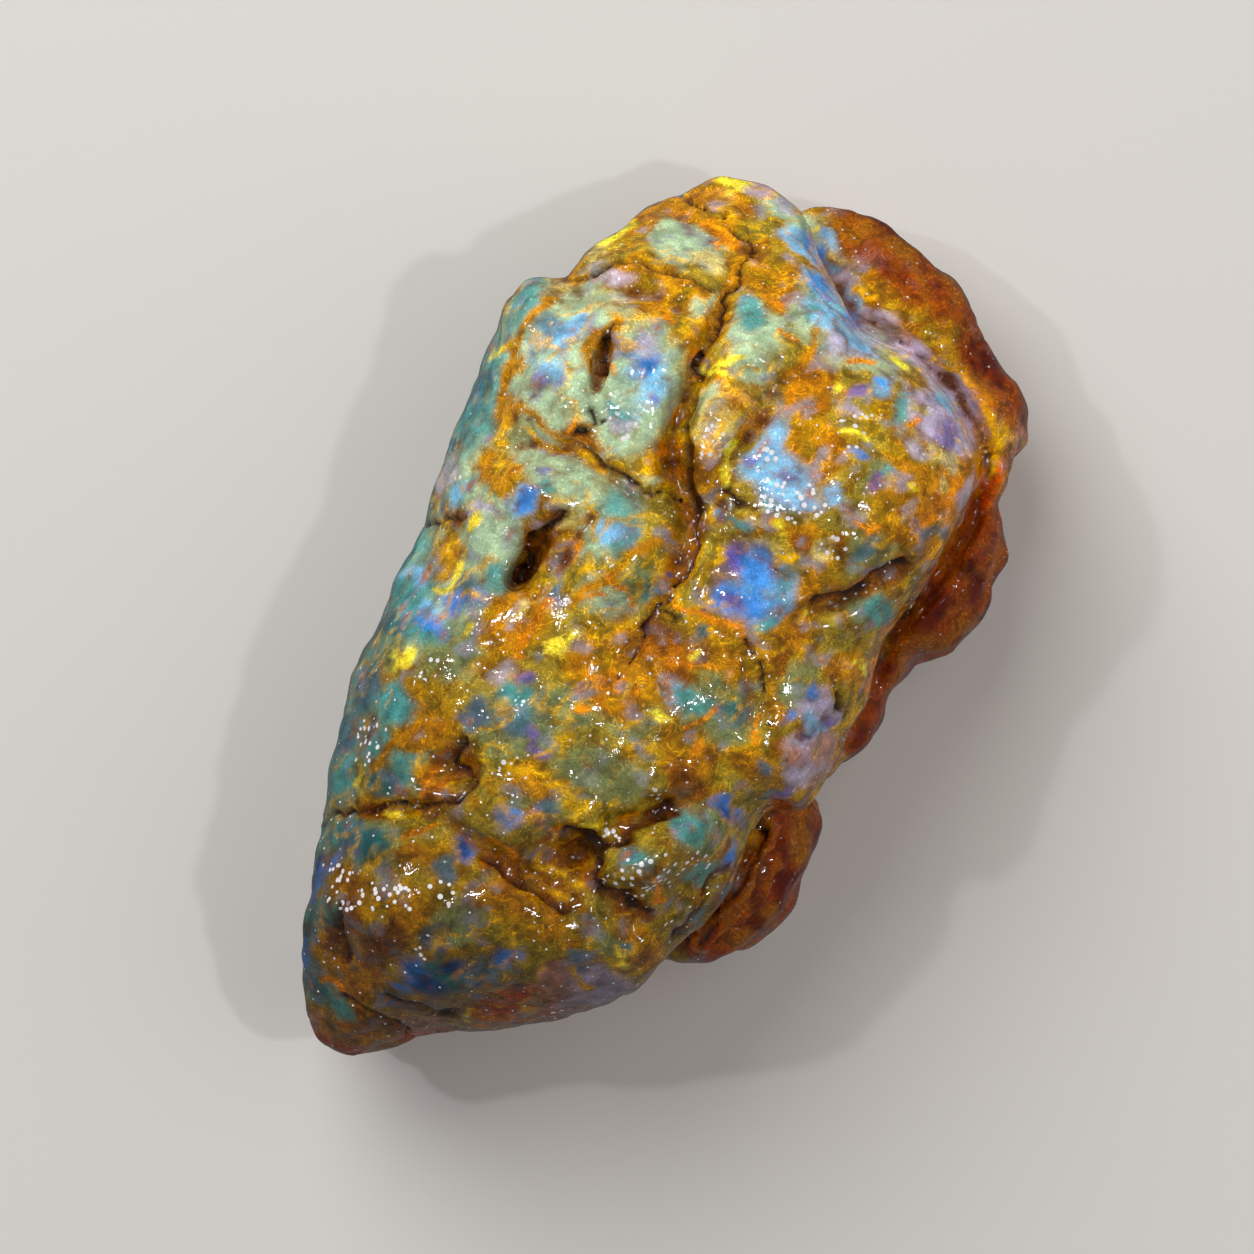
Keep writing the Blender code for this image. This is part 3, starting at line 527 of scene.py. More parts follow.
# %% List the touches of gold, orange and lemon
TOUCHES = [
    ("gold", 0.34, [
        [(-14.4, 15.6), (-14.6, 14.0), (-14.7, 12.4), (-14.3, 11.2), (-14.2, 10.0), (-13.8, 9.0)],
        [(-13.4, 8.7), (-12.4, 8.9), (-11.2, 9.0), (-10.0, 8.9), (-8.6, 8.4), (-7.0, 7.7)],
        [(-2.2, 5.8), (-3.0, 4.6), (-3.6, 3.4), (-4.2, 2.2), (-4.8, 0.8), (-5.0, 0.4)],
        [(-8.1, 0.0), (-8.3, -1.4), (-8.6, -2.6)], [(-10.2, 16.2), (-10.8, 14.0), (-10.3, 12.8)],
        [(3.2, 9.8), (4.2, 9.8), (5.0, 10.2), (6.0, 10.6)], [(7.2, 1.9), (8.2, 0.9), (8.9, 0.4)],
        [(-10.3, -10.6), (-9.2, -10.9), (-8.2, -10.4)], [(-10.1, -11.0), (-10.4, -12.8)],
        [(-12.0, 19.0), (-10.4, 19.4), (-8.6, 19.8), (-6.4, 19.6)], [(-0.2, 17.6), (0.1, 16.4)],
        [(-0.4, 15.4), (-1.0, 14.4), (-1.1, 13.2)], [(7.0, 16.6), (9.0, 16.6), (10.6, 15.0)],
        [(10.4, -4.4), (10.9, -5.4), (10.8, -6.6)], [(12.6, -6.4), (12.9, -8.6), (12.4, -10.8)],
        [(-5.6, 22.2), (-5.4, 20.4), (-5.5, 18.2)], [(0.3, 20.8), (0.2, 19.0)],
        [(-13.0, 5.8), (-12.6, 4.6), (-11.4, 4.4)], [(5.9, 4.6), (6.4, 6.6), (6.2, 8.2)],
    ]),
    ("honey", 0.24, [
        [(-11.6, 8.0), (-10.0, 8.2), (-8.0, 8.1), (-6.8, 7.6)], [(0.0, 10.0), (0.0, 8.2)],
        [(7.0, 23.3), (8.5, 23.1), (10.0, 22.4), (11.4, 21.6), (12.6, 20.4), (13.0, 19.0)],
        [(13.0, 0.2), (13.2, -1.4), (12.7, -3.2)], [(2.0, 24.3), (0.8, 24.2)],
        [(3.0, 3.0), (3.6, 2.2), (4.2, 2.9)], [(-3.2, -9.2), (-2.0, -9.0), (-0.4, -8.5)],
        [(0.4, -13.3), (1.8, -13.3), (3.0, -13.5)], [(0.2, -14.2), (1.6, -14.4), (2.6, -14.3)],
        [(-14.8, 12.0), (-15.4, 11.4)], [(4.0, 8.3), (4.8, 8.8)],
        [(1.2, 7.0), (1.0, 5.4), (2.0, 4.3)], [(12.9, -7.2), (13.1, -8.8)],
        [(11.9, -6.8), (11.7, -9.0)], [(12.2, -9.6), (11.6, -11.6)], [(4.9, -17.9), (6.2, -18.6)],
        [(-5.8, 4.6), (-6.6, 6.4)], [(11.4, 4.0), (12.2, 2.8), (12.4, 1.2)],
    ]),
    ("orange", 0.20, [
        [(-5.4, 16.8), (-5.4, 16.0)], [(-4.8, 13.6), (-4.7, 12.8)], [(-4.9, 11.0), (-4.3, 10.4)],
        [(2.6, 20.2), (3.8, 20.8)], [(-1.9, 19.7), (-0.8, 19.6)], [(10.2, 23.3), (12.0, 22.8)],
        [(-9.6, 9.9), (-9.6, 9.2), (-8.4, 8.9)], [(-9.0, 13.4), (-8.8, 13.2)],
        [(0.2, 17.0), (0.5, 16.6)], [(0.2, 0.5), (1.6, 0.3)], [(-2.4, -2.6), (-1.8, -2.6)],
        [(-1.4, -3.7), (0.0, -3.8)], [(-1.8, -4.7), (-1.3, -4.4)], [(0.6, -2.3), (0.9, -2.1)],
        [(-6.0, -14.3), (-6.4, -15.0), (-6.9, -15.6)], [(-2.6, -13.4), (-0.9, -13.7)],
        [(0.3, -11.5), (0.9, -11.1)], [(7.2, 12.4), (8.4, 12.7)], [(-7.1, 22.4), (-7.2, 22.8)],
        [(-3.6, 21.3), (-2.4, 21.2)], [(-7.2, -11.0), (-7.6, -11.8), (-7.5, -12.7)],
        [(5.0, -3.2), (5.2, -4.2)], [(4.2, -2.6), (5.0, -1.2)], [(3.4, 0.9), (3.8, 0.8)],
        [(-6.3, 0.2), (-6.5, -1.0), (-6.4, -2.4), (-6.2, -3.6)],
        [(7.6, -0.1), (7.9, -0.9), (8.2, -1.5)],
        [(0.1, 3.5), (1.0, 3.35), (2.2, 3.35), (3.2, 3.6), (4.2, 3.9), (5.0, 3.5)],
        [(-4.0, 3.0), (-2.8, 2.8), (-2.0, 2.5), (-1.7, 2.1)],
        [(11.4, 7.8), (11.8, 8.2), (12.0, 7.6), (11.6, 7.3), (11.4, 7.8)],
        [(6.6, -11.5), (7.7, -11.7)], [(3.4, -9.0), (4.4, -8.1)], [(-7.2, -25.0), (-5.8, -25.3)],
        [(-4.2, 1.3), (-3.6, 1.8)], [(-7.9, 17.6), (-7.4, 17.2)], [(12.2, 4.4), (12.0, 5.6)],
        [(1.0, -22.8), (3.4, -22.0)], [(7.0, 18.6), (7.6, 19.2)], [(9.7, 10.2), (9.9, 10.8)],
        [(14.4, -7.0), (14.2, -9.4), (13.4, -11.6)], [(15.6, 9.0), (16.3, 11.0)],
    ]),
    ("lemon", 0.20, [
        [(-8.8, 26.7), (-7.7, 27.1)], [(-8.4, 26.9), (-8.0, 26.8)],
        [(-12.7, 22.0), (-12.8, 20.8), (-12.9, 19.8)],
        [(-1.2, 13.1), (-1.1, 12.2), (-0.8, 11.4), (-0.5, 10.8), (-0.4, 10.5)],
        [(-0.85, 11.5), (-0.7, 11.0)], [(-4.4, 16.0), (-3.7, 16.8), (-3.1, 17.4)],
        [(-4.2, 16.0), (-3.5, 16.1)], [(5.0, 21.7), (5.8, 21.4)], [(2.3, 18.4), (2.8, 18.2)],
        [(4.3, 16.6), (5.2, 16.6)], [(10.8, 5.0), (11.6, 5.1)],
        [(-5.0, -2.5), (-4.8, -1.8), (-4.2, -1.5), (-4.1, -1.0)], [(2.4, -3.0), (2.8, -2.9)],
        [(-11.5, -0.5), (-11.3, -1.4), (-11.4, -2.1), (-12.0, -2.3)],
        [(-11.6, -6.0), (-11.8, -6.8), (-12.0, -7.4)], [(-12.0, -6.8), (-12.6, -7.2)],
        [(-9.5, -3.3), (-9.6, -3.7)], [(-10.8, -13.9), (-11.0, -14.7)],
        [(-8.4, -14.7), (-8.0, -15.0)], [(-8.1, -14.4), (-7.8, -13.7)],
        [(6.6, -15.6), (7.3, -16.1)], [(0.8, -22.9), (0.8, -23.5)], [(1.7, -10.4), (2.2, -10.0)],
        [(-11.8, 2.2), (-11.8, 1.4)], [(2.3, 1.3), (2.6, 1.5)], [(8.9, 15.6), (9.2, 15.4)],
        [(-15.3, 11.7), (-15.5, 11.3)], [(-3.0, 26.6), (-2.6, 26.7)], [(3.2, 9.8), (4.0, 9.7)],
        [(6.9, 6.6), (7.3, 6.4)],
    ]),
]
print("touches:", sum(len(routes) for _, _, routes in TOUCHES), "strokes")

# %% List the crowds of painted glints
# Where painted highlights crowd: a middle, two radii and, if it leans, a turn
GLINT_CROWDS = [
    (-7.5, 11.2, 0.9, 0.8), (-6.6, 10.2, 0.5, 0.5), (3.3, 11.4, 2.0, 1.5, 10),
    (4.6, 17.2, 1.0, 0.7), (4.8, 15.5, 0.5, 0.4), (8.6, 17.4, 1.0, 0.5), (-7.8, 5.6, 0.4, 0.4),
    (-10.3, -6.6, 0.6, 0.5), (-4.0, -9.2, 0.5, 0.5), (-11.5, -12.0, 0.7, 1.4),
    (-8.7, -19.7, 1.4, 1.2, -20), (-6.6, -19.4, 0.7, 1.0), (-5.4, -18.4, 0.8, 0.7),
    (-3.6, -17.3, 1.2, 0.5, 10), (-3.1, -20.6, 0.5, 0.7), (3.0, -9.6, 0.6, 0.4),
    (4.3, -7.0, 0.5, 0.4), (5.8, -11.2, 2.8, 1.0, 35), (8.2, -8.8, 0.8, 0.8),
    (8.5, -12.8, 0.4, 0.6), (5.2, -20.7, 0.7, 0.5), (-2.2, 12.2, 0.9, 0.9), (-14.4, 3.8, 0.5, 0.5),
    (1.2, 13.0, 0.8, 1.0), (-9.7, 11.6, 0.5, 0.5), (6.8, 10.6, 0.6, 0.8), (-6.4, -19.0, 0.6, 0.8),
]
print("crowds of beads:", len(GLINT_CROWDS))

# %% [markdown]
# ## Painting the sides
#
# Each point of the net takes one colour. The far sides can't be listed by hand, so they get
# theirs from noise: bloom and stain in turn, with brown veins between them. The left flank
# keeps a blue-green bloom, and the right flank is bare, rusty resin. Each wild wash is a
# colour, the size of its clouds in millimetres, and the noise where it starts and is full.

# %% Paint the sides from noise
def washed(paint, colour, mask):
    """The paint under one more wash, which covers it where the mask is 1."""
    return paint + (np.array(COLOURS[colour]) - paint) * mask[:, None]


WILD = [
    ("moss", 6.0, 0.0, 0.4), ("mint", 5.0, 0.0, 0.35), ("sage", 4.0, 0.05, 0.3),
    ("teal", 3.2, 0.12, 0.3), ("lilac", 2.6, 0.22, 0.4), ("sky", 2.6, 0.2, 0.38),
    ("azure", 2.0, 0.34, 0.45), ("gold", 3.6, 0.0, 0.3), ("brown", 3.0, 0.12, 0.35),
    ("honey", 1.6, 0.25, 0.4),
]
GROUND_SHADE = 0.8
VEIN_SPACING = 5.0
VEIN_WIDTH = 0.10
sides = np.tile(np.array(COLOURS["gold"]) * GROUND_SHADE, (len(plan), 1))
for seed, (colour, size, low, high) in enumerate(WILD):
    sides = washed(sides, colour, step(cloudy(plan, size, 20.0 + seed), low, high))
across = skin.normals()[:, 0]
sides = washed(sides, "teal", 0.80 * step(-across + 0.4 * ragged, 0.1, 0.8))
sides = washed(sides, "rust", 0.85 * step(across + 0.4 * ragged, -0.1, 0.6))
vein = 1.0 - step(np.abs(cloudy(plan, VEIN_SPACING, 35.0)), 0.0, VEIN_WIDTH)
sides = washed(sides, "brown", 0.9 * vein)
print("sides:", len(WILD), "washes of noise")

# %% [markdown]
# ## Painting the top
#
# Where the skin faces up, the tables take over, in their order. Every mask has a wide and
# ragged edge, which keeps the spots soft, and a faint gold rim shows round each patch, where
# the bloom thins out over stain. Violet, lilac and azure are laid on more faintly than the
# other patches.

# %% Lay the washes and the patches
COVER = 0.9
FAINTER_COVER = {"violet": 0.7, "lilac": 0.7, "azure": 0.85}
top = np.tile(np.array(COLOURS["gold"]), (len(plan), 1))
top = washed(top, "moss", step(cloudy(plan, 2.2, 50.0), -0.25, 0.3))
for colour, table in BROAD:
    top = washed(top, colour, step(spots(plan, table) + 0.35 * ragged, 0.15, 0.80))
for colour, table in PATCHES:
    mask = step(spots(plan, table) + 0.6 * ragged, 0.05, 0.95)
    edge = step(mask, 0.1, 0.3) * (1.0 - step(mask, 0.3, 0.5))
    top = washed(top, "gold", 0.5 * edge)
    top = washed(top, colour, FAINTER_COVER.get(colour, COVER) * mask)
print("mean colour of the top:", top.mean(axis=0).round(2))

# %% [markdown]
# ## Mottling and filaments
#
# The warm ground is never one flat gold. Brown and olive clouds break it up, and filaments
# wander over it, bright in some places and dark in others. The drawn touches come last, so
# that they stay crisp, and three places are painted lemon as a painted glow, where light
# comes through.

# %% Mottle the warm ground
def warmth_of(paint):
    """From 0 for greys and blues to 1 for pure gold."""
    return (paint[:, 0] - paint[:, 2]) / paint[:, 0]


warm = step(warmth_of(top), 0.3, 0.8)
mottle = cloudy(plan, 1.7, 67.0) + 0.5 * cloudy(plan, 0.8, 68.0)
top = washed(top, "brown", 0.75 * step(mottle, 0.0, 0.55) * warm)
top = washed(top, "olive", 0.70 * step(-mottle, 0.1, 0.6) * warm)
print("warm points:", int((warm > 0.5).sum()))

# %% Draw the filaments and the touches
wander = cloudy(plan, 1.9, 64.0) + 0.3 * cloudy(plan, 0.8, 65.0)
filament = 1.0 - step(np.abs(wander), 0.0, 0.13)
region = cloudy(plan, 4.0, 66.0)
top = washed(top, "honey", 0.7 * filament * step(region, -0.2, 0.25))
top = washed(top, "brown", 0.6 * filament * step(-region, -0.1, 0.3))
for colour, half_width, routes in TOUCHES:
    table = [(half_width, route) for route in routes]
    top = washed(top, colour, step(strokes(plan, table) + 0.3 * ragged, 0.35, 0.85))
# Three lemon spots: a painted glow of light coming through
PAINTED_GLOW = [(-8.4, 26.8, 1.0, 0.8), (-12.9, 20.9, 0.7, 1.5, -10), (-4.7, -1.8, 0.7, 0.5)]
top = washed(top, "lemon", step(spots(plan, PAINTED_GLOW) + 0.3 * ragged, 0.2, 0.8))
print("filament points:", int((filament > 0.5).sum()))

# %% [markdown]
# ## Painted light end, painted dark end
#
# The lower end of the stone is painted darker and the upper end lighter, as painted shade and
# painted light, on the sides too, so both paints are joined before they are shaded. Flecks vary
# the brightness from place to place.
# Last, every colour is pushed a little away from its own grey, because lamps and reflections
# wash it out again.

# %% Join top and sides and paint light and shade on the ends
LOW_END_PAINTED_SHADE = np.array([0.60, 0.64, 0.66])
TOP_END_PAINTED_LIGHT = 0.2
FLECK_GAIN = 0.55
VIVID = 1.12
DARKEST = 0.001
flecks = cloudy(plan, 0.9, 60.0) + 0.5 * cloudy(plan, 0.45, 61.0)
# Painted shade towards the lower end and painted light towards the upper end
low_end_shade = step(-plan[:, 1], 0.0, 25.0)[:, None]
top_end_light = step(plan[:, 1], 4.0, 20.0)[:, None]
top = top * (1.0 + FLECK_GAIN * flecks)[:, None]
paint = sides + (top - sides) * facing_up[:, None]
paint = paint * (1.0 - LOW_END_PAINTED_SHADE * low_end_shade + TOP_END_PAINTED_LIGHT * top_end_light)
grey = paint.mean(axis=1, keepdims=True)
paint = np.clip(grey + VIVID * (paint - grey), DARKEST, 1.0)
print("mean colour:", paint.mean(axis=0).round(2))

# %% [markdown]
# ## Stain and painted shade
#
# The hollows take their colour from the shape itself: a brown haze in wide hollows and umber
# in narrow ones and along the cracks, partly the stain the stone has and partly painted shade,
# and near black in the cracks and at the bottom of the pits, which is painted shade.

# %% Stain the hollows and paint their shade
PITS = [
    (-8.1, 1.4, 0.6, 0.4), (-9.1, 9.5, 0.4, 0.3), (2.5, -11.2, 0.7, 0.7), (-12.6, 1.8, 0.2, 0.2),
    (5.3, -12.8, 1.1, 0.25), (-4.0, 12.6, 0.3, 0.5, 30), (-1.0, 8.8, 0.7, 0.3, -30),
    (8.8, 8.6, 0.35, 0.7, -45), (0.4, 2.7, 0.5, 0.25), (13.2, 11.6, 0.5, 1.2),
    (12.4, 9.0, 0.3, 0.9), (9.2, 24.4, 0.9, 0.4, -30), (12.2, -6.3, 0.25, 0.6),
    (11.2, -12.3, 0.25, 0.5), (-8.3, 3.5, 0.25, 0.9, -5),
]
WIDE_ROUNDS = 45
NARROW_ROUNDS = 10
NEARLY_BLACK = 0.05
wide = skin.hollows(WIDE_ROUNDS) + 0.2 * ragged
narrow = skin.hollows(NARROW_ROUNDS) + 0.08 * ragged
banks = step(strokes(plan, CRACKS) + 0.4 * ragged, 0.15, 0.9) * facing_up
shaded_pit_floors = step(spots(plan, PITS) + 0.4 * ragged, 0.3, 0.8) * facing_up
# Brown and umber in the hollows: partly the stone's stain, partly painted shade
paint = washed(paint, "brown", 0.8 * step(wide, 0.06, 0.42))
paint = washed(paint, "umber", 0.7 * step(wide, 0.22, 0.60))
paint = washed(paint, "umber", 0.85 * step(narrow, 0.06, 0.22))
paint = washed(paint, "umber", 0.9 * banks)
# Near black in the cracks and on the pit floors: painted shade
paint = washed(paint, "shade_black", 0.9 * step(cracks + 0.5 * ragged, 0.45, 1.0))
paint = washed(paint, "shade_black", 0.9 * shaded_pit_floors)
print("sooty points:", int((paint.max(axis=1) < NEARLY_BLACK).sum()))

# %% [markdown]
# ## Thin skin
#
# The low lobes on the right and the underside have hardly any bloom, and light goes through
# them. Both fade out upwards between the two heights that are given, in millimetres. They get
# rust, red and orange paint, partly the bare resin's own colour and partly a painted glow of
# the light that comes through them, and the material reads from here how much of each point
# is clear resin, how warm its colour is and where the painted glints crowd.

# %% Find the thin skin and keep what the material reads
BARE = [
    (14.6, 12.0, 1.8, 5.4), (13.9, 4.0, 1.3, 4.4), (13.2, -8.6, 1.9, 6.4),
    (11.0, 24.2, 3.0, 2.0, -30), (3.8, 27.2, 5.2, 1.5, -8), (3.4, -22.2, 3.2, 1.2, 32),
    (-1.0, -25.6, 2.2, 0.8, 20), (-5.0, -28.6, 2.6, 0.7),
]
LOBE_TOPS = (10.0, 13.0)
UNDERSIDE = (1.5, 7.0)
height = skin.points[:, 2]
low = 1.0 - step(height, *LOBE_TOPS)
under = 1.0 - step(height, *UNDERSIDE)
thin = np.maximum(step(spots(plan, BARE), 0.1, 0.7) * low, 0.8 * under * (1.0 - facing_up))
lobe = cloudy(plan, 1.8, 69.0) + 0.4 * ragged
honeyed = step(cloudy(plan, 2.8, 71.0) + 0.3 * ragged, 0.05, 0.45)
# Rust, red and orange on the thin skin: the bare resin's colour and partly a painted glow
paint = washed(paint, "rust", 0.75 * thin)
paint = washed(paint, "gold", 0.6 * thin * honeyed)
paint = washed(paint, "red", 0.85 * thin * step(lobe, 0.0, 0.4))
paint = washed(paint, "orange", 0.6 * thin * step(-lobe, 0.15, 0.5))
skin.keep_colour("wash", paint)
skin.keep("thin", thin)
skin.keep("warmth", step(warmth_of(paint), 0.4, 0.95))
skin.keep("glint_crowd_share", step(spots(plan, GLINT_CROWDS) + 0.2 * ragged, 0.2, 0.7) * facing_up)
print("thin skin on", int((thin > 0.5).sum()), "points")

# %% [markdown]
# ## Writing materials as expressions
#
# A material is a tree of nodes, and wiring one node at a time is hard to read. This small
# class wraps a socket, so that sums and products of sockets add the Math nodes themselves.
# Every other node comes from one method, which takes the node's type, its settings and what
# goes into its sockets.

# %% A socket that knows arithmetic
class Wire:
    """One output of a node, which can be added to, subtracted and multiplied."""

    def __init__(self, tree, socket):
        self.tree = tree
        self.socket = socket

    def math(self, operation, *others):
        """A Math node on this wire and the others."""
        values = dict(enumerate((self, *others)))
        return node(self.tree, "ShaderNodeMath", {"operation": operation}, values)

    def beside(self, name):
        """Another output of the same node."""
        return Wire(self.tree, self.socket.node.outputs[name])

    def __add__(self, other):
        return self.math("ADD", other)

    def __mul__(self, other):
        return self.math("MULTIPLY", other)

    def __sub__(self, other):
        return self.math("SUBTRACT", other)

    def __rsub__(self, other):
        return node(self.tree, "ShaderNodeMath", {"operation": "SUBTRACT"}, {0: other, 1: self})

    __radd__ = __add__
    __rmul__ = __mul__


def node(tree, kind, settings=None, values=None, output=0):
    """Adds a node, applies its settings, feeds its sockets and wraps one of its outputs."""
    made = tree.nodes.new(kind)
    for name, value in (settings or {}).items():
        setattr(made, name, value)
    for name, value in (values or {}).items():
        if isinstance(value, Wire):
            tree.links.new(value.socket, made.inputs[name])
        else:
            made.inputs[name].default_value = value
    return Wire(tree, made.outputs[output])


def band(value, low, high):
    """A smooth step from 0 at low to 1 at high."""
    settings = {"interpolation_type": "SMOOTHSTEP"}
    values = {"Value": value, "From Min": low, "From Max": high}
    return node(value.tree, "ShaderNodeMapRange", settings, values)


def over(mask, colour, below):
    """Lays a colour over another where the mask is 1. The sockets have numbers, because a Mix
    node has several of each name, and the colours are its inputs 6 and 7 and its output 2."""
    values = {0: mask, 6: below, 7: colour}
    return node(below.tree, "ShaderNodeMix", {"data_type": "RGBA"}, values, 2)


def thread(value, half_width):
    """A thin line along the places where the value passes through zero."""
    return band(half_width * 1.3 - value.math("ABSOLUTE"), 0.0, half_width)


def scaled(colour, value):
    """The colour, brighter or darker."""
    values = {0: colour, "Scale": value}
    return node(colour.tree, "ShaderNodeVectorMath", {"operation": "SCALE"}, values)


def grain(where, size, detail, twist):
    """Noise of about that size in millimetres, centred on 0."""
    values = {
        "Vector": where, "Scale": 1.0 / (size * MM), "Detail": detail,
        "Roughness": 0.60, "Distortion": twist,
    }
    return node(where.tree, "ShaderNodeTexNoise", values=values) - 0.5


def stored(tree, name, output="Fac"):
    """What the net keeps under that name, as a number or, from the output Color, a colour."""
    return node(tree, "ShaderNodeAttribute", {"attribute_name": name}, output=output)


print("helpers: node, band, over, thread, scaled, grain and stored")


# %% [markdown]
# ## The skin's own pattern
#
# The paint on the net is as coarse as the net, about a quarter of a millimetre, so everything
# finer comes from noise in the material. The noise darkens and brightens the paint in place,
# which keeps its hue, and draws bright threads where it passes through zero. Warm places get
# more of it than the smooth, cool bloom.

# %% Darken, brighten and thread the paint
amber = bpy.data.materials.new("amber")
amber.use_nodes = True
tree = amber.node_tree
tree.nodes.clear()
place = node(tree, "ShaderNodeTexCoord", output="Object")
warmth = stored(tree, "warmth")
skin_colour = stored(tree, "wash", "Color")

swirl = grain(place, 0.8, 2.0, 0.4)
fine = grain(place, 0.33, 1.0, 0.2)
dark_clouds = band(0.0 - swirl, 0.0, 0.24) * (0.20 + warmth * 0.45)
bright_clouds = band(swirl, 0.0, 0.20) * (0.15 + warmth * 0.55)
threads = thread(swirl + 0.02, 0.016) * (0.1 + warmth * 0.5)
skin_colour = over(dark_clouds, scaled(skin_colour, 0.40), skin_colour)
skin_colour = over(bright_clouds, scaled(skin_colour, 1.9), skin_colour)
skin_colour = over(threads, scaled(skin_colour, 2.6), skin_colour)
skin_colour = over(thread(fine, 0.018) * 0.42, scaled(skin_colour, 2.2), skin_colour)
skin_colour = over(band(0.0 - fine, 0.0, 0.25) * 0.2, scaled(skin_colour, 0.35), skin_colour)
print("pattern:", len(tree.nodes), "nodes")

# %% [markdown]
# ## Painted glints
#
# White points are painted into the skin as painted highlights: they stand for the glints of
# tiny wet beads, a few everywhere and crowds of them in some places. A Voronoi texture divides
# space into cells a little under half a millimetre wide. A number drawn for each cell says
# whether it holds a painted glint, and the crowds raise that number. Real beads as spheres
# would be thousands of pieces for the same look.

# %% Scatter the painted glints
GLINT_COLOUR = (0.95, 0.95, 0.98, 1)
CELLS_PER_MM = 2.3
values = {"Vector": place, "Scale": CELLS_PER_MM / MM}
cells = node(tree, "ShaderNodeTexVoronoi", values=values)
chance = node(tree, "ShaderNodeSeparateColor", values={0: cells.beside("Color")})
glint_crowd = stored(tree, "glint_crowd_share")
holds_glint = band(chance + glint_crowd * 0.6, 0.74, 0.84)
painted_glints = band(0.20 + glint_crowd * 0.20 - cells, 0.0, 0.08) * holds_glint
# White points over the skin: painted highlights
skin_colour = over(painted_glints * 0.95, GLINT_COLOUR, skin_colour)
print("beads: cells of", round(1.0 / CELLS_PER_MM, 2), "mm")

# %% [markdown]
# ## Cloudy skin over clear resin
#
# Two shaders share the surface. The cloudy skin is opaque and glossy, as if wet. Under it, and
# bare on the thin lobes, the resin is clear: it lets light through, bends it as amber does and
# absorbs blue first and green next, so thin places look orange and thick ones dark red. Fine
# relief in both comes from the same noise as the pattern.

# %% Mix the two shaders
AMBER_IOR = 1.54
CLEAR_AT_MOST = 0.5
LET_THROUGH = (0.985, 0.84, 0.0, 1)
ABSORPTION_PER_METRE = 1600.0
relief = node(tree, "ShaderNodeBump", values={
    "Strength": 1.0, "Distance": 0.1 * MM, "Height": swirl * 0.7 + fine * 0.24,
})
cloudy_skin = node(tree, "ShaderNodeBsdfPrincipled", values={
    "Base Color": skin_colour, "Roughness": 0.09, "IOR": AMBER_IOR, "Normal": relief,
    "Coat Weight": 0.5, "Coat Roughness": 0.05, "Coat IOR": 1.5,
})
clear_resin = node(tree, "ShaderNodeBsdfPrincipled", values={
    "Base Color": (1, 1, 1, 1), "Roughness": 0.10, "IOR": AMBER_IOR, "Normal": relief,
    "Transmission Weight": 1.0,
})
clear_share = stored(tree, "thin") * CLEAR_AT_MOST
shaders = {0: clear_share, 1: cloudy_skin, 2: clear_resin}
surface = node(tree, "ShaderNodeMixShader", values=shaders)
absorption = node(tree, "ShaderNodeVolumeAbsorption", values={
    "Color": LET_THROUGH, "Density": ABSORPTION_PER_METRE,
})
finish = tree.nodes.new("ShaderNodeOutputMaterial")
tree.links.new(surface.socket, finish.inputs["Surface"])
tree.links.new(absorption.socket, finish.inputs["Volume"])
print("amber:", len(tree.nodes), "nodes")

# %% Put the finish on the stone
stone.data.materials.clear()
stone.data.materials.append(amber)
stone.data.shade_smooth()
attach(stone, "root")
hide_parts("amber_nodule")
print("stone:", np.ptp(skin.points, axis=0).round(1), "mm")

# %% [markdown]
# ## A paper floor
#
# The stone lies on a plain pale sheet, far wider than the view, so that no edge shows. One
# square face is enough. The real stone mirrors only dark surroundings, so the sheet is hidden
# from reflections: it lights the stone, but lays no pale veil over its colours.

# %% Lay the floor
PAPER_REACH = 3.0
PAPER_COLOUR = (0.78, 0.77, 0.75, 1)
PAPER_ROUGHNESS = 0.9
floor_bm = bmesh.new()
bmesh.ops.create_grid(floor_bm, x_segments=1, y_segments=1, size=PAPER_REACH)
floor_mesh = bpy.data.meshes.new("floor")
floor_bm.to_mesh(floor_mesh)
floor_bm.free()
floor = bpy.data.objects.new("floor", floor_mesh)
bpy.context.scene.collection.objects.link(floor)
paper = bpy.data.materials.new("paper")
paper.use_nodes = True
paper_shader = paper.node_tree.nodes["Principled BSDF"]
paper_shader.inputs["Base Color"].default_value = PAPER_COLOUR
paper_shader.inputs["Roughness"].default_value = PAPER_ROUGHNESS
floor.data.materials.append(paper)
floor.visible_glossy = False
print("floor:", 2 * PAPER_REACH, "m wide")

# %% [markdown]
# ## Studio light
#
# Two large, soft lamps give the shading: the key from the upper left, as the shadows in the
# clefts show, and a weak, warm one from the right. Like the floor, they are hidden from
# reflections. Two small lamps make the wet glints, since only a small lamp gives a sharp one.
# Places are given in terms of the picture, in which the stone's length leans by 28 degrees.

# %% Hang the lamps
PICTURE_TURN = math.radians(28)
STONE_MIDDLE = Vector((0, 0, 0.01))
right = Vector((math.cos(PICTURE_TURN), math.sin(PICTURE_TURN), 0))
up = Vector((-math.sin(PICTURE_TURN), math.cos(PICTURE_TURN), 0))


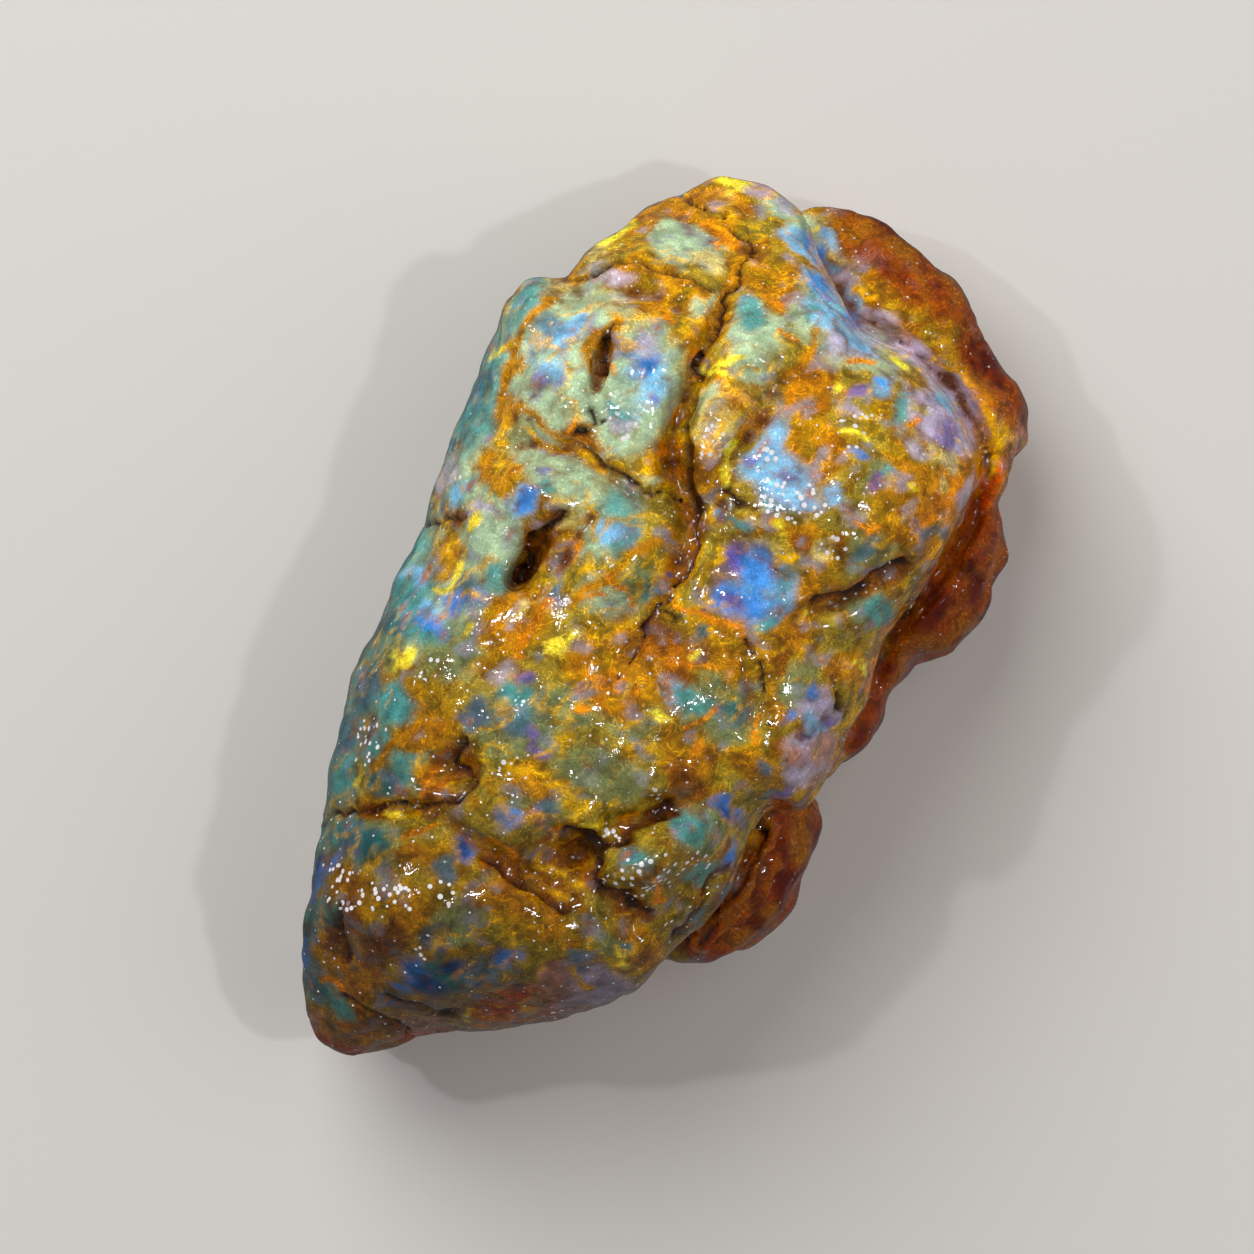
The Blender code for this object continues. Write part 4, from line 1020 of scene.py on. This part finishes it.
def lamp(name, across, upward, height, size, power, tint, mirrored):
    """A round lamp that faces the stone: across, upward and above it, in metres and watts."""
    data = bpy.data.lights.new(name, "AREA")
    data.shape = "DISK"
    data.size = size
    data.energy = power
    data.color = tint
    item = bpy.data.objects.new(name, data)
    bpy.context.scene.collection.objects.link(item)
    spot = right * across + up * upward + Vector((0, 0, height))
    facing = (STONE_MIDDLE - spot).to_track_quat("-Z", "Y").to_matrix().to_4x4()
    item.matrix_world = Matrix.Translation(spot) @ facing
    item.visible_glossy = mirrored
    print(name, "lamp:", power, "W")


lamp("key", across=-0.18, upward=0.28, height=0.34, size=0.40, power=1.6,
     tint=(1.0, 0.98, 0.95), mirrored=False)
lamp("rim", across=0.26, upward=0.04, height=0.30, size=0.50, power=0.42,
     tint=(1.0, 0.92, 0.82), mirrored=False)
lamp("flash", across=-0.26, upward=0.10, height=0.40, size=0.02, power=0.22,
     tint=(1.0, 0.98, 1.0), mirrored=True)
lamp("second flash", across=0.18, upward=-0.04, height=0.44, size=0.02, power=0.26,
     tint=(0.96, 0.95, 1.0), mirrored=True)

# %% Fill the room with faint light
ROOM_LIGHT = 0.10
world = bpy.data.worlds.new("studio")
world.use_nodes = True
background = world.node_tree.nodes["Background"]
background.inputs["Color"].default_value = (1, 1, 1, 1)
background.inputs["Strength"].default_value = ROOM_LIGHT
bpy.context.scene.world = world
print("room light:", ROOM_LIGHT)

# %% [markdown]
# ## The camera
#
# The photo looks straight down at the stone from far enough away that nothing is drawn out of
# shape, so a long lens is used. The photo is 1254 pixels wide, and at the level where the
# outline is widest it spans a little over 73 mm, which sets the distance. The Standard view
# keeps the colours as strong as they are painted.

# %% Aim the camera
LENS = 240
SENSOR = 36
PHOTO_SPAN = 0.07324
OUTLINE_LEVEL = 0.008
AIM_RIGHT = -0.968 * MM
AIM_UP = 1.485 * MM
camera = bpy.data.objects.new("camera", bpy.data.cameras.new("camera"))
bpy.context.scene.collection.objects.link(camera)
camera.data.lens = LENS
camera.data.sensor_width = SENSOR
aim = right * AIM_RIGHT + up * AIM_UP
eye = Matrix.Translation((aim.x, aim.y, OUTLINE_LEVEL + PHOTO_SPAN / SENSOR * LENS))
camera.matrix_world = eye @ Matrix((right, up, Vector((0, 0, 1)))).transposed().to_4x4()
camera.data.clip_start = 0.01
bpy.context.scene.camera = camera
bpy.context.scene.view_settings.view_transform = "Standard"
print("camera:", round(camera.matrix_world.translation.z, 3), "m above the floor")
